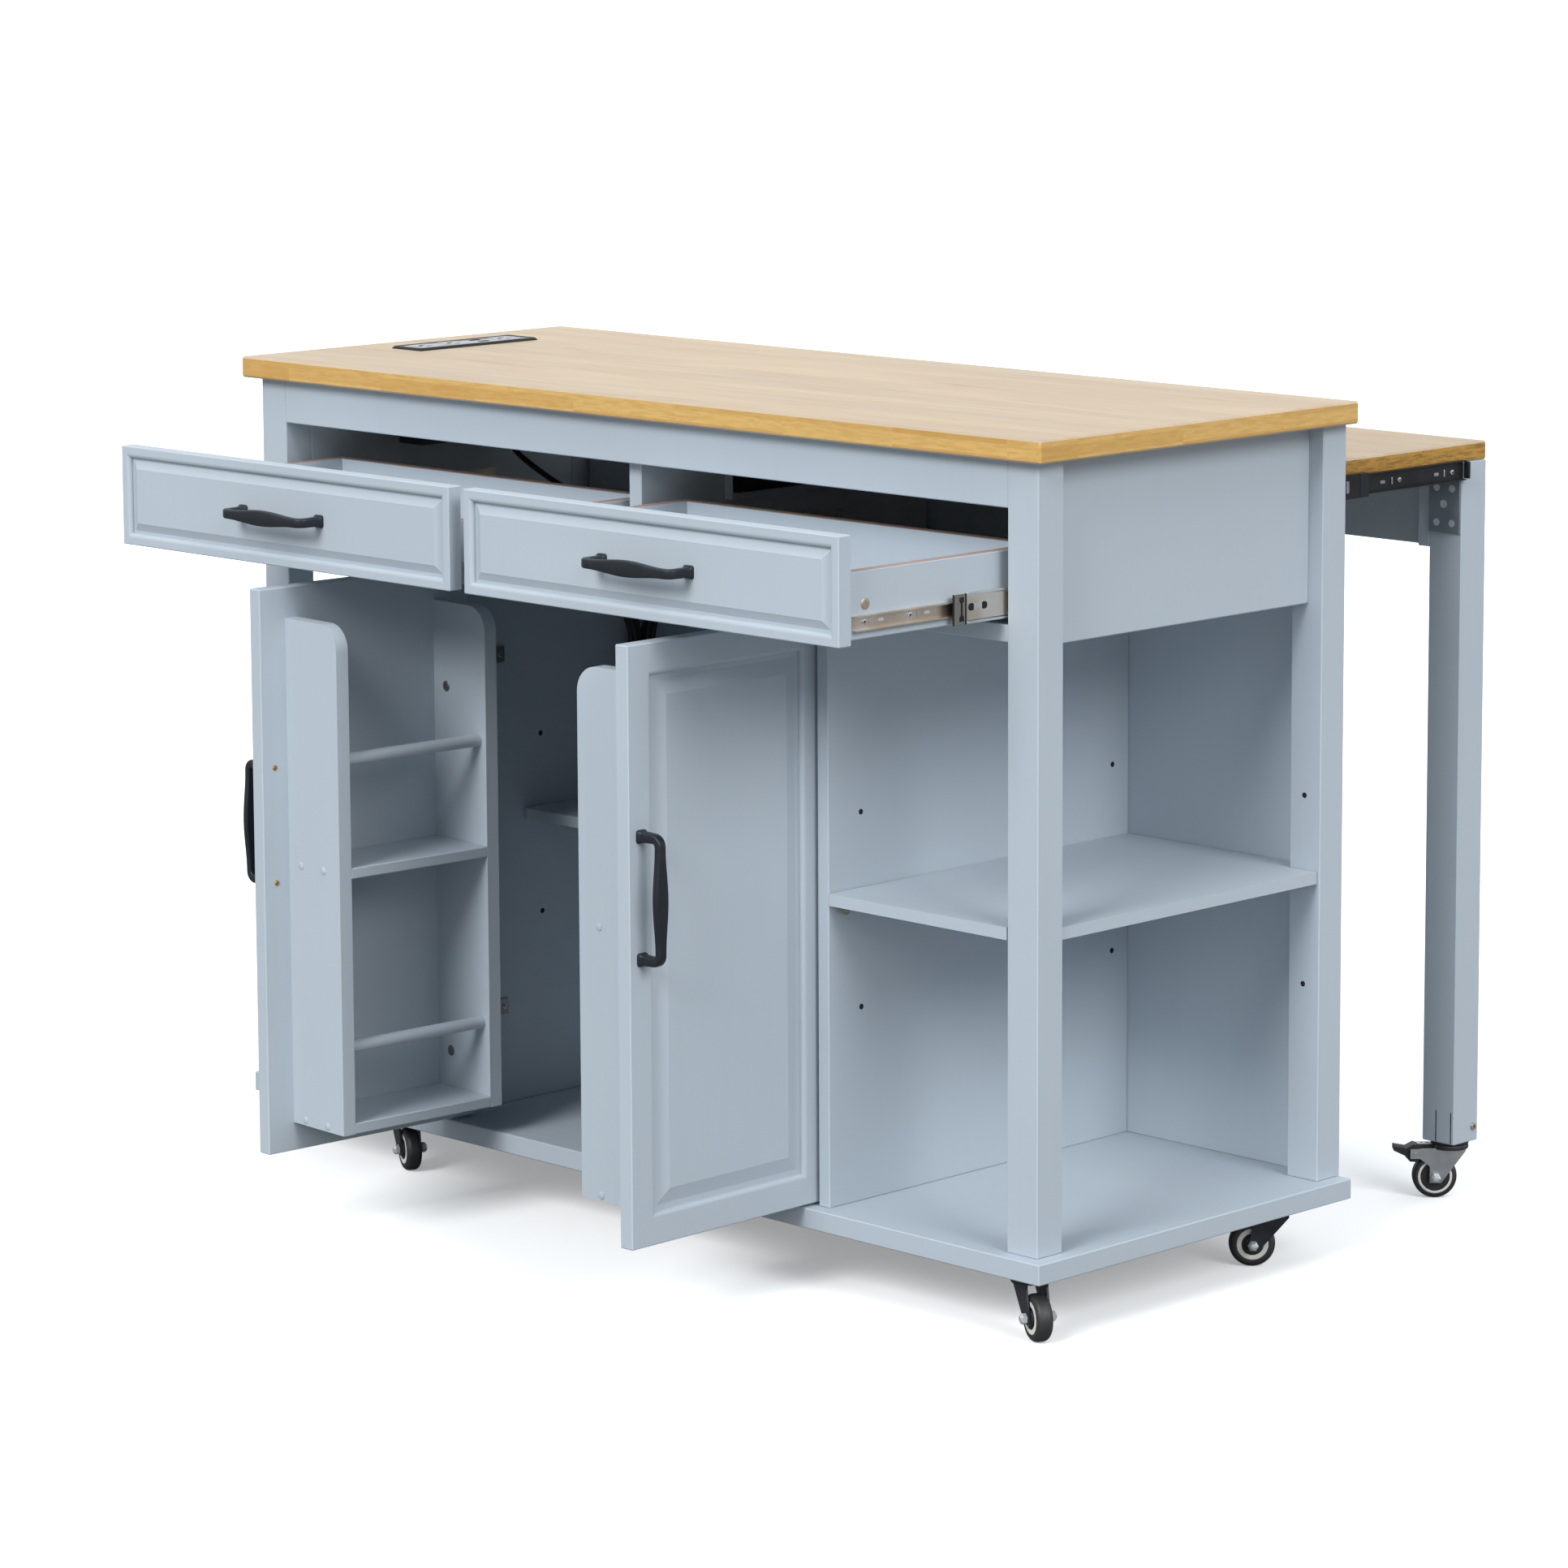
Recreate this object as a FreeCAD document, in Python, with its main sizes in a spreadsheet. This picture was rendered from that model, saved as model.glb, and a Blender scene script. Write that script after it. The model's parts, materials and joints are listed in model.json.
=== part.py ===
import FreeCAD, Part
import math
import os
import re
import Sketcher

# A kitchen island on casters: a board-built cabinet with two drawers, two doors with racks,
# open bays at both ends, a pull-out leaf on its own legs and a power unit let into the worktop.
# X runs along the island from its middle, Y from the worktop's front edge to the back, Z up
# from the floor. Every node is then moved along Y so that the origin lies below the middle.
V = FreeCAD.Vector
doc = FreeCAD.newDocument("kitchen_island")
sheet = doc.addObject("Spreadsheet::Sheet", "sizes")

# Driving sizes: millimetres, degrees and counts
SIZES = {
    # worktop and carcass
    "top_length": 1250, "top_depth": 500, "top_thick": 24, "island_height": 935,
    "board_ease": 1, "top_ease": 2,
    "caster_height": 68, "base_thick": 22,
    "post_wide": 42, "post_deep": 38, "post_inset": 17, "face_set": 16,
    "rail_high": 50, "rail_thick": 18,
    "floor_thick": 18, "drawer_zone": 169,
    "apron_thick": 23, "apron_drop": 192,
    "partition_thick": 16, "cabinet_wide": 588,
    "back_thick": 10, "back_top_drop": 111,
    "divider_thick": 19, "guide_thick": 12, "guide_high": 103, "guide_front": 159,
    # shelves and their pins
    "shelf_top": 430, "shelf_thick": 13, "cabinet_shelf_front": 132, "shelf_gap": 1,
    "bay_shelf_proud": 39, "pin_across": 5, "pin_long": 9, "pin_set": 45,
    # telescopic slides
    "slide_thick": 12.7, "slide_sheet": 1.2, "slide_high": 35, "carriage_high": 24.5,
    "runner_high": 15, "outer_lip": 8, "carriage_set": 3.2, "carriage_lip": 10.4,
    "runner_lip": 6.4, "slide_rise": 16.5,
    "outer_front": 38, "outer_long": 300, "carriage_front": 63, "carriage_long": 270,
    "runner_front": 45, "runner_long": 285,
    "leaf_slide_high": 30, "leaf_carriage_high": 26, "leaf_runner_high": 22,
    "leaf_slide_drop": 8, "leaf_outer_front": 161, "leaf_outer_long": 300,
    "leaf_carriage_end": 461.5, "ball_row": 100, "ball_row_in": 5, "ball_gap": 0.1,
    # drawers
    "drawer_open": 241, "drawer_gap": 2, "drawer_low_gap": 2.5, "drawer_front_high": 111,
    "front_thick": 18, "box_side": 13, "box_low_gap": 6, "box_high": 68.5, "box_long": 297,
    "box_bottom": 5, "box_bottom_set": 8,
    "drawer_margin": 13, "drawer_mould": 7, "drawer_bevel": 9,
    # doors
    "door_gap": 4.5, "door_middle_gap": 3, "door_low_gap": 3, "door_top_gap": 2,
    "door_open_right": 90.9, "door_open_left": 93.5, "pivot_in": 8, "pivot_back": 8,
    "door_margin": 34, "door_mould": 10, "door_bevel": 16,
    "mould_sink": 6, "field_sink": 1.5, "mould_flat": 2,
    # door hinges
    "hinge_from_end": 111, "cup_across": 35, "cup_deep": 11, "cup_flange": 1.2, "cup_in": 22.5,
    "notch_half": 4.2, "notch_high": 12, "hinge_pin": 3, "hinge_fit": 0.05, "lug_half": 2.5,
    "barrel_across": 7.2, "barrel_gap": 0.3, "arm_wide": 4, "riser_from": 16.5, "riser_long": 18,
    "plate_long": 62, "plate_thick": 3, "plate_high": 18,
    # door racks
    "rack_deep": 92, "rack_board": 16, "rack_low": 125, "rack_round": 28,
    "rack_shelf": 12, "rack_shelf_top": 421, "rod_across": 14, "rod_set": 14,
    "rod_over_shelf": 118, "rod_over_low": 83,
    # handles
    "handle_centres": 128, "handle_foot": 11, "handle_reach": 32, "handle_bar": 8,
    "handle_mid_high": 17, "handle_end_high": 10, "handle_pad": 14, "handle_pad_thick": 3,
    "handle_bend": 8, "door_handle_level": 460, "door_handle_in": 17,
    # pull-out leaf
    "leaf_thick": 21, "leaf_deep": 456, "leaf_back": 811, "leaf_ease": 2, "leaf_open": 265,
    "leg_wide": 45, "leg_deep": 43, "leg_low": 66,
    "leaf_apron_thick": 16, "leaf_apron_high": 98, "leaf_apron_set": 12,
    "batten_wide": 18, "batten_high": 18, "corner_block": 16,
    "bracket_wide": 42, "bracket_thick": 2.5, "bracket_high": 62, "bracket_deep": 38,
    # power unit and its cord
    "unit_from_end": 58, "unit_wide": 53, "unit_front": 178, "unit_long": 185,
    "unit_lip": 6, "unit_lip_thick": 3, "unit_deep": 111, "unit_fit": 0.5,
    "relief_in": 8, "relief_up": 3.7, "relief_from_back": 20, "relief_run": 10,
    "relief_drop": 10.7, "cord_across": 7, "relief_across": 13, "cord_hole": 30, "cord_hole_in": 346,
    "cord_hole_y": 341,
    "hank_layer": 7.6, "hank_fold": 31.5, "hank_waist": 14.5, "hank_step": 8.3, "hank_run": 73,
    "hank_in": 347.2, "hank_y": 299, "hank_loops": 3,
    "tie_level": 598, "tie_high": 14, "tie_thick": 2, "tie_gap": 0.9,
    "plug_wide": 24, "plug_thick": 18, "plug_long": 34, "plug_relief": 22,
    "blade_long": 18, "blade_wide": 6.3, "blade_thick": 1.5, "blade_apart": 12.7,
    # casters
    "wheel_across": 50, "wheel_wide": 18, "wheel_round": 6, "hub_across": 30, "hub_proud": 0.8,
    "bore_fit": 0.05, "axle_across": 6, "cheek_thick": 2.5, "cheek_gap": 1.2,
    "trail": 22, "plate_side": 60, "caster_plate": 2.5, "race_across": 42, "race_high": 4,
    "fork_top": 3, "fork_crown": 40, "fork_wide_top": 34, "fork_wide_axle": 13,
    "kingpin": 8, "swivel_gap": 0.3, "nut_across": 10, "nut_high": 5,
    "right_caster_in": 47, "right_caster_front": 38, "left_caster_in": 196,
    "left_caster_front": 62, "back_caster_y": 424, "front_caster_turn": -25.6,
    "back_caster_turn": -134.8,
    "leaf_trail": 17, "stem_across": 11, "stem_long": 38, "leaf_race_across": 40,
    "pedal_long": 40, "pedal_wide": 18, "pedal_pin": 4, "ear_out": 40, "ear_across": 11,
    "pedal_level": 52, "pin_head": 2, "nut_sides": 6, "collar_sides": 24, "wheel_sides": 38, "cord_sides": 8,
    "pin_sides": 8,
}

# Places worked out from the sizes
PLACES = {
    "half_top": "top_length / 2",
    "top_under": "island_height - top_thick",
    "base_top": "caster_height + base_thick",
    "post_out": "half_top - post_inset",
    "bay_wall": "post_out - post_wide",
    "post_back": "face_set + post_deep",
    "rear_post": "top_depth - post_deep",
    "rail_under": "top_under - rail_high",
    "floor_top": "top_under - drawer_zone",
    "floor_low": "floor_top - floor_thick",
    "cabinet_half": "cabinet_wide / 2",
    "partition_out": "cabinet_half + partition_thick",
    "back_face": "top_depth - back_thick",
    "half_divider": "divider_thick / 2",
    "guide_face": "half_divider + guide_thick",
    "frame_back": "leaf_back",
    "frame_front": "face_set - drawer_open - handle_reach",
    "frame_mid": "(frame_back + frame_front) / 2",
    "shelf_low": "shelf_top - shelf_thick",
    "bay_shelf_out": "bay_wall + bay_shelf_proud",
    "drawer_in": "half_divider + drawer_gap",
    "drawer_out": "bay_wall - drawer_gap",
    "drawer_wide": "drawer_out - drawer_in",
    "drawer_low": "floor_top + drawer_low_gap",
    "front_back": "face_set + front_thick",
    "box_in": "half_divider + slide_thick",
    "box_out": "bay_wall - slide_thick",
    "box_low": "floor_top + box_low_gap",
    "box_top": "box_low + box_high",
    "slide_level": "box_low + slide_rise",
    "box_end": "front_back + box_long",
    "door_wide": "cabinet_half - door_gap - door_middle_gap / 2",
    "door_low": "base_top + door_low_gap",
    "door_top": "floor_low - door_top_gap",
    "door_high": "door_top - door_low",
    "pivot_x": "cabinet_half - door_gap - pivot_in",
    "pivot_y": "face_set + pivot_back",
    "door_inner": "front_thick - pivot_back",
    "door_free": "door_wide - pivot_in",
    "cup_x": "cup_in - pivot_in",
    "wall_x": "door_gap + pivot_in",
    "rack_end": "door_inner + rack_deep",
    "rack_top": "door_top - door_margin",
    "rack_hinge": "door_margin - pivot_in",
    "rack_free": "door_free - door_margin",
    "leaf_right": "bay_wall - slide_thick",
    "leaf_left": "guide_face + slide_thick",
    "leaf_top": "rail_under",
    "leaf_low": "leaf_top - leaf_thick",
    "leaf_slide_level": "leaf_low - leaf_slide_drop",
    "leaf_front": "leaf_back - leaf_deep",
    "leg_front": "leaf_back - leg_deep",
    "batten_low": "leaf_low - batten_high",
    "cord_hole_x": "cord_hole_in - half_top",
    "hank_x": "hank_in - half_top",
    "unit_left": "unit_from_end - half_top",
    "unit_back": "unit_front + unit_long",
    "unit_low": "island_height - unit_deep",
    "wheel_radius": "wheel_across / 2",
    "fork_under": "caster_height - caster_plate - race_high - swivel_gap - fork_top",
    "cheek_in": "wheel_wide / 2 + cheek_gap",
    "leaf_fork_under": "leg_low - race_high - swivel_gap - fork_top",
}


def full(text):
    """A sum of named sizes, with every name as a cell of the sheet."""
    def cell(match):
        name = match.group(0)
        if name in PLACES:
            return "(" + full(PLACES[name]) + ")"
        return "sizes." + name if name in SIZES else name
    return re.sub(r"[A-Za-z_]\w*", cell, text)


def size(text):
    """The value of a sum of named sizes."""
    return float(sheet.evalExpression(full(text)))


def bind(piece, **sums):
    for name, text in sums.items():
        piece.setExpression(name.replace("__", "."), full(text))
    return piece


for row, (name, value) in enumerate(SIZES.items(), start=1):
    sheet.set(f"A{row}", str(value))
    sheet.setAlias(f"A{row}", name)
doc.recompute()


# Pieces that a board-built cabinet is made of

def mirrored(span, hand):
    """A span along X, or the same span on the other side of the middle."""
    low, high = span
    return (low, high) if hand > 0 else (f"-({high})", f"-({low})")


def block(x, y, z):
    """A square-edged block between two places on each axis."""
    piece = doc.addObject("Part::Box", "block")
    bind(piece, Length=f"{x[1]} - ({x[0]})", Width=f"{y[1]} - ({y[0]})",
         Height=f"{z[1]} - ({z[0]})")
    return bind(piece, Placement__Base__x=x[0], Placement__Base__y=y[0],
                Placement__Base__z=z[0])


def eased(piece, ease="board_ease"):
    """The same piece with all its edges broken."""
    doc.recompute()
    chamfer = doc.addObject("Part::Chamfer", "eased")
    chamfer.Base = piece
    chamfer.Edges = [(i + 1, size(ease), size(ease)) for i in range(len(piece.Shape.Edges))]
    return chamfer


def board(x, y, z, ease="board_ease"):
    return eased(block(x, y, z), ease)


def rod(x, y, z, across, long, axis=V(0, 0, 1)):
    """A round piece from a point along an axis."""
    piece = doc.addObject("Part::Cylinder", "rod")
    piece.Placement = FreeCAD.Placement(V(), FreeCAD.Rotation(V(0, 0, 1), axis))
    bind(piece, Radius=f"({across}) / 2", Height=long)
    return bind(piece, Placement__Base__x=x, Placement__Base__y=y, Placement__Base__z=z)


def bar(x, y, z, across, long, sides, axis=V(0, 0, 1)):
    """A piece with flat sides from a point along an axis, such as a nut, head or collar."""
    piece = doc.addObject("Part::Prism", "bar")
    piece.Polygon = int(size(sides))
    piece.Placement = FreeCAD.Placement(V(), FreeCAD.Rotation(V(0, 0, 1), axis))
    bind(piece, Circumradius=f"({across}) / 2", Height=long)
    return bind(piece, Placement__Base__x=x, Placement__Base__y=y, Placement__Base__z=z)


def less(piece, *tools):
    for tool in tools:
        cut = doc.addObject("Part::Cut", "cut")
        cut.Base, cut.Tool = piece, tool
        piece = cut
    return piece


def joined(*pieces):
    fuse = doc.addObject("Part::MultiFuse", "joined")
    fuse.Shapes = list(pieces)
    return fuse


def worked(kind, piece, reach, wanted):
    """The same piece with a round or bevel on each edge that the test picks."""
    doc.recompute()
    feature = doc.addObject(kind, "worked")
    feature.Base = piece
    feature.Edges = [(i + 1, size(reach), size(reach))
                     for i, edge in enumerate(piece.Shape.Edges) if wanted(edge)]
    return feature


def rounded(piece, radius, wanted):
    return worked("Part::Fillet", piece, radius, wanted)


def near(value, text):
    return abs(value - size(text)) < size("bore_fit")


def outlined(role, points, offset="0"):
    """A body with a closed outline of straight lines on an origin plane."""
    body = doc.addObject("PartDesign::Body", "body")
    plane = next(f for f in body.Origin.OriginFeatures if f.Role == role)
    outline = body.newObject("Sketcher::SketchObject", "outline")
    outline.AttachmentSupport = [(plane, "")]
    outline.MapMode = "FlatFace"
    bind(outline, AttachmentOffset__Base__z=offset)
    corners = [V(size(across), size(up), 0) for across, up in points]
    for i, corner in enumerate(corners):
        outline.addGeometry(Part.LineSegment(corner, corners[(i + 1) % len(corners)]), False)
    for i in range(len(corners)):
        outline.addConstraint(Sketcher.Constraint("Coincident", i, 2, (i + 1) % len(corners), 1))
    for i, (across, up) in enumerate(points):
        for kind, text in (("DistanceX", across), ("DistanceY", up)):
            number = outline.addConstraint(Sketcher.Constraint(kind, i, 1, size(text)))
            outline.setExpression(f"Constraints[{number}]", full(text))
    return body, outline


def prism(role, points, long, backwards=False, offset="0"):
    """An outline padded square to its plane."""
    body, outline = outlined(role, points, offset)
    pad = body.newObject("PartDesign::Pad", "pad")
    pad.Profile = outline
    pad.Reversed = backwards
    bind(pad, Length=long)
    return body


NODES = []


def node(label, *pieces, x="0", y="-frame_mid", z="0", turn="0"):
    """A named sub-part: one piece, or a group of separate ones, set in its place."""
    group = doc.addObject("Part::Compound", "node")
    group.Label = label
    group.Links = list(pieces)
    group.Placement = FreeCAD.Placement(V(), FreeCAD.Rotation(V(0, 0, 1), 1))
    bind(group, Placement__Base__x=x, Placement__Base__y=y, Placement__Base__z=z)
    bind(group, Placement__Rotation__Angle=turn)
    NODES.append(group)
    return group


BOTH = (1, -1)
SIDES = ((1, "right"), (-1, "left"))
WHOLE = ("-bay_wall", "bay_wall")

# Carcass
unit_x = ("unit_left + unit_lip", "unit_left + unit_wide - unit_lip")
unit_y = ("unit_front + unit_lip", "unit_back - unit_lip")
unit_hole = block((f"{unit_x[0]} - unit_fit", f"{unit_x[1]} + unit_fit"),
                  (f"{unit_y[0]} - unit_fit", f"{unit_y[1]} + unit_fit"),
                  ("top_under - top_thick", "island_height + top_thick"))
node("worktop", less(board(("-half_top", "half_top"), ("0", "top_depth"),
                           ("top_under", "island_height"), "top_ease"), unit_hole))
node("base_board", board(("-half_top", "half_top"), ("0", "top_depth"),
                         ("caster_height", "base_top")))
node("posts", *[board(mirrored(("bay_wall", "post_out"), hand), span, ("base_top", "top_under"))
                for hand in BOTH
                for span in (("face_set", "post_back"), ("rear_post", "top_depth"))])
node("top_rails",
     board(WHOLE, ("face_set", "face_set + rail_thick"), ("rail_under", "top_under")),
     board(WHOLE, ("top_depth - rail_thick", "top_depth"), ("rail_under", "top_under")))
cord_hole = rod("cord_hole_x", "cord_hole_y", "floor_low - floor_thick", "cord_hole",
                "floor_thick * 3")
node("drawer_floor", less(board(WHOLE, ("face_set", "back_face"), ("floor_low", "floor_top")),
                          cord_hole))
node("side_aprons", *[board(mirrored(("bay_wall", "bay_wall + apron_thick"), hand),
                            ("post_back", "rear_post"), ("top_under - apron_drop", "top_under"))
                      for hand in BOTH])
node("partitions", *[board(mirrored(("cabinet_half", "partition_out"), hand),
                           ("face_set", "back_face"), ("base_top", "floor_low"))
                     for hand in BOTH])
node("back_panel", board(WHOLE, ("back_face", "top_depth"),
                         ("base_top", "top_under - back_top_drop")))
node("drawer_divider",
     board(("-half_divider", "half_divider"), ("front_back", "top_depth - rail_thick"),
           ("floor_top", "top_under")),
     board(("half_divider", "guide_face"), ("guide_front", "top_depth - rail_thick"),
           ("top_under - guide_high", "top_under")))


def bay_shelf(hand):
    """A shelf between partition and end, notched round the posts."""
    between = block(mirrored(("partition_out + shelf_gap", "bay_wall - shelf_gap"), hand),
                    ("face_set", "back_face - shelf_gap"), ("shelf_low", "shelf_top"))
    outer = block(mirrored(("bay_wall - shelf_gap", "bay_shelf_out"), hand),
                  ("post_back + shelf_gap", "rear_post - shelf_gap"), ("shelf_low", "shelf_top"))
    return joined(between, outer)


node("shelves",
     board(("-cabinet_half + shelf_gap", "cabinet_half - shelf_gap"),
           ("cabinet_shelf_front", "back_face - shelf_gap"), ("shelf_low", "shelf_top")),
     bay_shelf(1), bay_shelf(-1))


def shelf_pins():
    """A pin under each shelf corner, standing out of the partition, post or apron there."""
    for hand in BOTH:
        for y in ("cabinet_shelf_front + pin_set", "back_face - pin_set"):
            yield bar(f"{hand} * (cabinet_half - pin_long)", y, "shelf_low - pin_across / 2",
                      "pin_across", "pin_long", "pin_sides", V(hand, 0, 0))
        for y in ("face_set + post_deep / 2", "top_depth - post_deep / 2"):
            yield bar(f"{hand} * partition_out", y, "shelf_low - pin_across / 2",
                      "pin_across", "pin_long", "pin_sides", V(hand, 0, 0))
            yield bar(f"{hand} * (bay_wall - pin_long)", y, "shelf_low - pin_across / 2",
                      "pin_across", "pin_long", "pin_sides", V(hand, 0, 0))


node("shelf_pins", *shelf_pins())

# Telescopic slides: three nested channels of bent sheet


def channel(wall, hand, web, lip, high, level, front, long):
    """A channel along Y, its web and lips measured from the wall that carries the slide."""
    def place(depth):
        return f"({wall}) - {hand} * ({depth})"
    low, top = f"{level} - {high} / 2", f"{level} + {high} / 2"
    back = f"{web} - slide_sheet" if size(web) > size(lip) else f"{web} + slide_sheet"
    points = [(place(web), low), (place(lip), low), (place(lip), f"{low} + slide_sheet"),
              (place(back), f"{low} + slide_sheet"), (place(back), f"{top} - slide_sheet"),
              (place(lip), f"{top} - slide_sheet"), (place(lip), top), (place(web), top)]
    return prism("XZ_Plane", points, long, backwards=True, offset=f"-({front})")


def carriage(wall, hand, heights, level, front, long, runner_at_front):
    """The middle channel, with its rows of caged balls against the outer one and the runner."""
    outer_high, high, runner_high = heights
    parts = [channel(wall, hand, "carriage_set", "carriage_lip", high, level, front, long)]
    ends = [(f"{front} + ball_row_in", f"{front} + ball_row_in + ball_row"),
            (f"{front} + {long} - ball_row_in - ball_row", f"{front} + {long} - ball_row_in")]
    outer_rows, runner_rows = reversed(ends) if runner_at_front else ends
    for along, depths, span in (
            (outer_rows, ("carriage_set + slide_sheet", "outer_lip"),
             (f"{high} / 2", f"{outer_high} / 2 - slide_sheet - ball_gap")),
            (runner_rows, ("runner_lip", "carriage_lip"),
             (f"{runner_high} / 2 + ball_gap", f"{high} / 2 - slide_sheet"))):
        x = [f"({wall}) - {hand} * ({depth})" for depth in depths]
        for z in (span, mirrored(span, -1)):
            parts.append(block(tuple(x[::-hand]), along, (f"{level} + {z[0]}", f"{level} + {z[1]}")))
    return joined(*parts)


def drawer_walls(hand):
    """The two upright faces that carry a drawer's slides, and the side that each is on."""
    return ((f"{hand} * bay_wall", hand), (f"{hand} * half_divider", -hand))


node("drawer_slide_outers",
     *[channel(wall, side, "0", "outer_lip", "slide_high", "slide_level", "outer_front",
               "outer_long") for hand in BOTH for wall, side in drawer_walls(hand)])
leaf_walls = (("bay_wall", 1), ("guide_face", -1))
node("leaf_slide_outers",
     *[channel(wall, side, "0", "outer_lip", "leaf_slide_high", "leaf_slide_level",
               "leaf_outer_front", "leaf_outer_long") for wall, side in leaf_walls])
node("leaf_slide_middles",
     *[carriage(wall, side, ("leaf_slide_high", "leaf_carriage_high", "leaf_runner_high"),
                "leaf_slide_level", "leaf_carriage_end - leaf_outer_long + leaf_open / 2",
                "leaf_outer_long", False) for wall, side in leaf_walls])
node("leaf_slide_inners",
     *[channel(wall, side, "slide_thick", "runner_lip", "leaf_runner_high",
               "leaf_slide_level", "leg_front - leaf_outer_long", "leaf_outer_long")
       for wall, side in leaf_walls])


def handle(along_x, seat="0"):
    """A cast bow handle: square feet, rounded bends and a bar that swells in its middle."""
    half = "handle_centres / 2"
    ends = (f"-({half} + handle_foot / 2)", f"{half} + handle_foot / 2")
    bar = block(ends, ("-handle_reach", "handle_bar - handle_reach"),
                ("-handle_mid_high / 2", "handle_mid_high / 2"))
    rise = "(handle_mid_high - handle_end_high) / 2"
    swell = f"({half} * {half} + {rise} * {rise}) / (2 * {rise})"
    drums = [rod("0", "handle_reach", f"{side} * ({swell} - handle_mid_high / 2)",
                 f"2 * {swell}", "handle_reach * 3", V(0, -1, 0)) for side in BOTH]
    for drum in drums:
        common = doc.addObject("Part::Common", "swelling")
        common.Base, common.Tool = bar, drum
        bar = common
    feet = [block((f"{hand} * {half} - handle_foot / 2", f"{hand} * {half} + handle_foot / 2"),
                  ("-handle_reach", seat), ("-handle_end_high / 2", "handle_end_high / 2"))
            for hand in BOTH]
    pads = [block((f"{hand} * {half} - handle_pad / 2", f"{hand} * {half} + handle_pad / 2"),
                  ("-handle_pad_thick", seat), ("-handle_pad / 2", "handle_pad / 2"))
            for hand in BOTH]
    whole = joined(bar, *feet, *pads)

    def bend(edge):
        middle = edge.CenterOfMass
        return near(middle.y, "-handle_reach") and near(abs(middle.x), ends[1])
    cast = rounded(whole, "handle_bend", bend)
    if along_x:
        return cast
    turned = doc.addObject("Part::Compound", "turned")
    turned.Links = [cast]
    turned.Placement = FreeCAD.Placement(V(), FreeCAD.Rotation(V(0, 1, 0), 90))
    return turned


def raised_panel(wide, high, margin, mould, bevel):
    """A slab with a rounded moulding and a bevelled field, its front face at Y nought."""
    slab = board(("0", wide), ("0", "front_thick"), ("0", high))
    inner = lambda edge, length: (edge, f"{length} - ({edge})")
    recess = block(inner(margin, wide), ("0", "mould_sink"), inner(margin, high))
    sunk = less(slab, recess)

    def rim(edge):
        box = edge.BoundBox
        flat = near(box.YMin, "0") and near(box.YMax, "0")
        return flat and box.XMin > size(margin) - size("mould_flat") \
            and box.ZMin > size(margin) - size("mould_flat") \
            and box.XMax < size(f"{wide} - {margin} + mould_flat") \
            and box.ZMax < size(f"{high} - {margin} + mould_flat")
    moulded = rounded(sunk, "mould_sink - mould_flat / 2", rim)
    foot = f"{margin} + {mould} - mould_sink + mould_flat"
    top = f"{foot} + {bevel}"
    field = doc.addObject("Part::Wedge", "field")
    bind(field, Xmin=top, Zmin=top, Ymin="field_sink", X2min=foot, Z2min=foot,
         Xmax=f"{wide} - ({top})", Zmax=f"{high} - ({top})", Ymax="mould_sink",
         X2max=f"{wide} - ({foot})", Z2max=f"{high} - ({foot})")
    return joined(moulded, field)


def moved(piece, x, y, z):
    bind(piece, Placement__Base__x=x, Placement__Base__y=y, Placement__Base__z=z)
    return piece


# Drawers, pulled out as they stand at rest
OUT = "-frame_mid - drawer_open"
for hand, name in SIDES:
    across = mirrored(("drawer_in", "drawer_out"), hand)
    node(f"drawer_front_{name}",
         moved(raised_panel("drawer_wide", "drawer_front_high", "drawer_margin",
                            "drawer_mould", "drawer_bevel"),
               across[0], "face_set", "drawer_low"), y=OUT)
    low, high = mirrored(("box_in", "box_out"), hand)
    deep, tall = ("front_back", "box_end"), ("box_low", "box_top")
    inside = (f"{low} + box_side", f"{high} - box_side")
    node(f"drawer_box_{name}",
         board((low, f"{low} + box_side"), deep, tall),
         board((f"{high} - box_side", high), deep, tall),
         board(inside, ("box_end - box_side", "box_end"), tall),
         board(inside, ("front_back", "front_back + box_side"), tall),
         block(inside, ("front_back + box_side", "box_end - box_side"),
               ("box_low + box_bottom_set", "box_low + box_bottom_set + box_bottom")), y=OUT)
    node(f"drawer_handle_{name}", handle(True, "field_sink"),
         x=f"{hand} * (drawer_in + drawer_out) / 2",
         y=f"face_set + {OUT}", z="drawer_low + drawer_front_high / 2")
    node(f"drawer_slide_inners_{name}",
         *[channel(wall, side, "slide_thick", "runner_lip", "runner_high", "slide_level",
                   "runner_front", "runner_long") for wall, side in drawer_walls(hand)], y=OUT)
    node(f"drawer_slide_middles_{name}",
         *[carriage(wall, side, ("slide_high", "carriage_high", "runner_high"), "slide_level",
                    "carriage_front", "carriage_long", True)
           for wall, side in drawer_walls(hand)], y="-frame_mid - drawer_open / 2")

# Doors, each built shut about its own pivot and then swung open
HINGE_LEVELS = ("door_low + hinge_from_end", "door_top - hinge_from_end")


def hinge_knuckle(hand, level, grow):
    """The space that a hinge's fixed arm sweeps in the door."""
    return block(mirrored(("-notch_half", "pivot_in * 2"), hand),
                 ("-notch_half", "door_inner + cup_flange * 2"),
                 (f"{level} - notch_high / 2 - {grow}", f"{level} + notch_high / 2 + {grow}"))


def hinge_lugs(hand, level, top):
    """The two lugs of a hinge cup, one above and one below the barrel, as one block."""
    return block(mirrored(("-cup_x", "lug_half"), hand), ("-lug_half", top),
                 (f"{level} - notch_high * 3 / 4", f"{level} + notch_high * 3 / 4"))


def cup_space(hand, level, deep, top):
    return rod(f"-{hand} * cup_x", f"door_inner - ({deep})", level, "cup_across",
               f"{deep} + ({top})", V(0, 1, 0))


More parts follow.
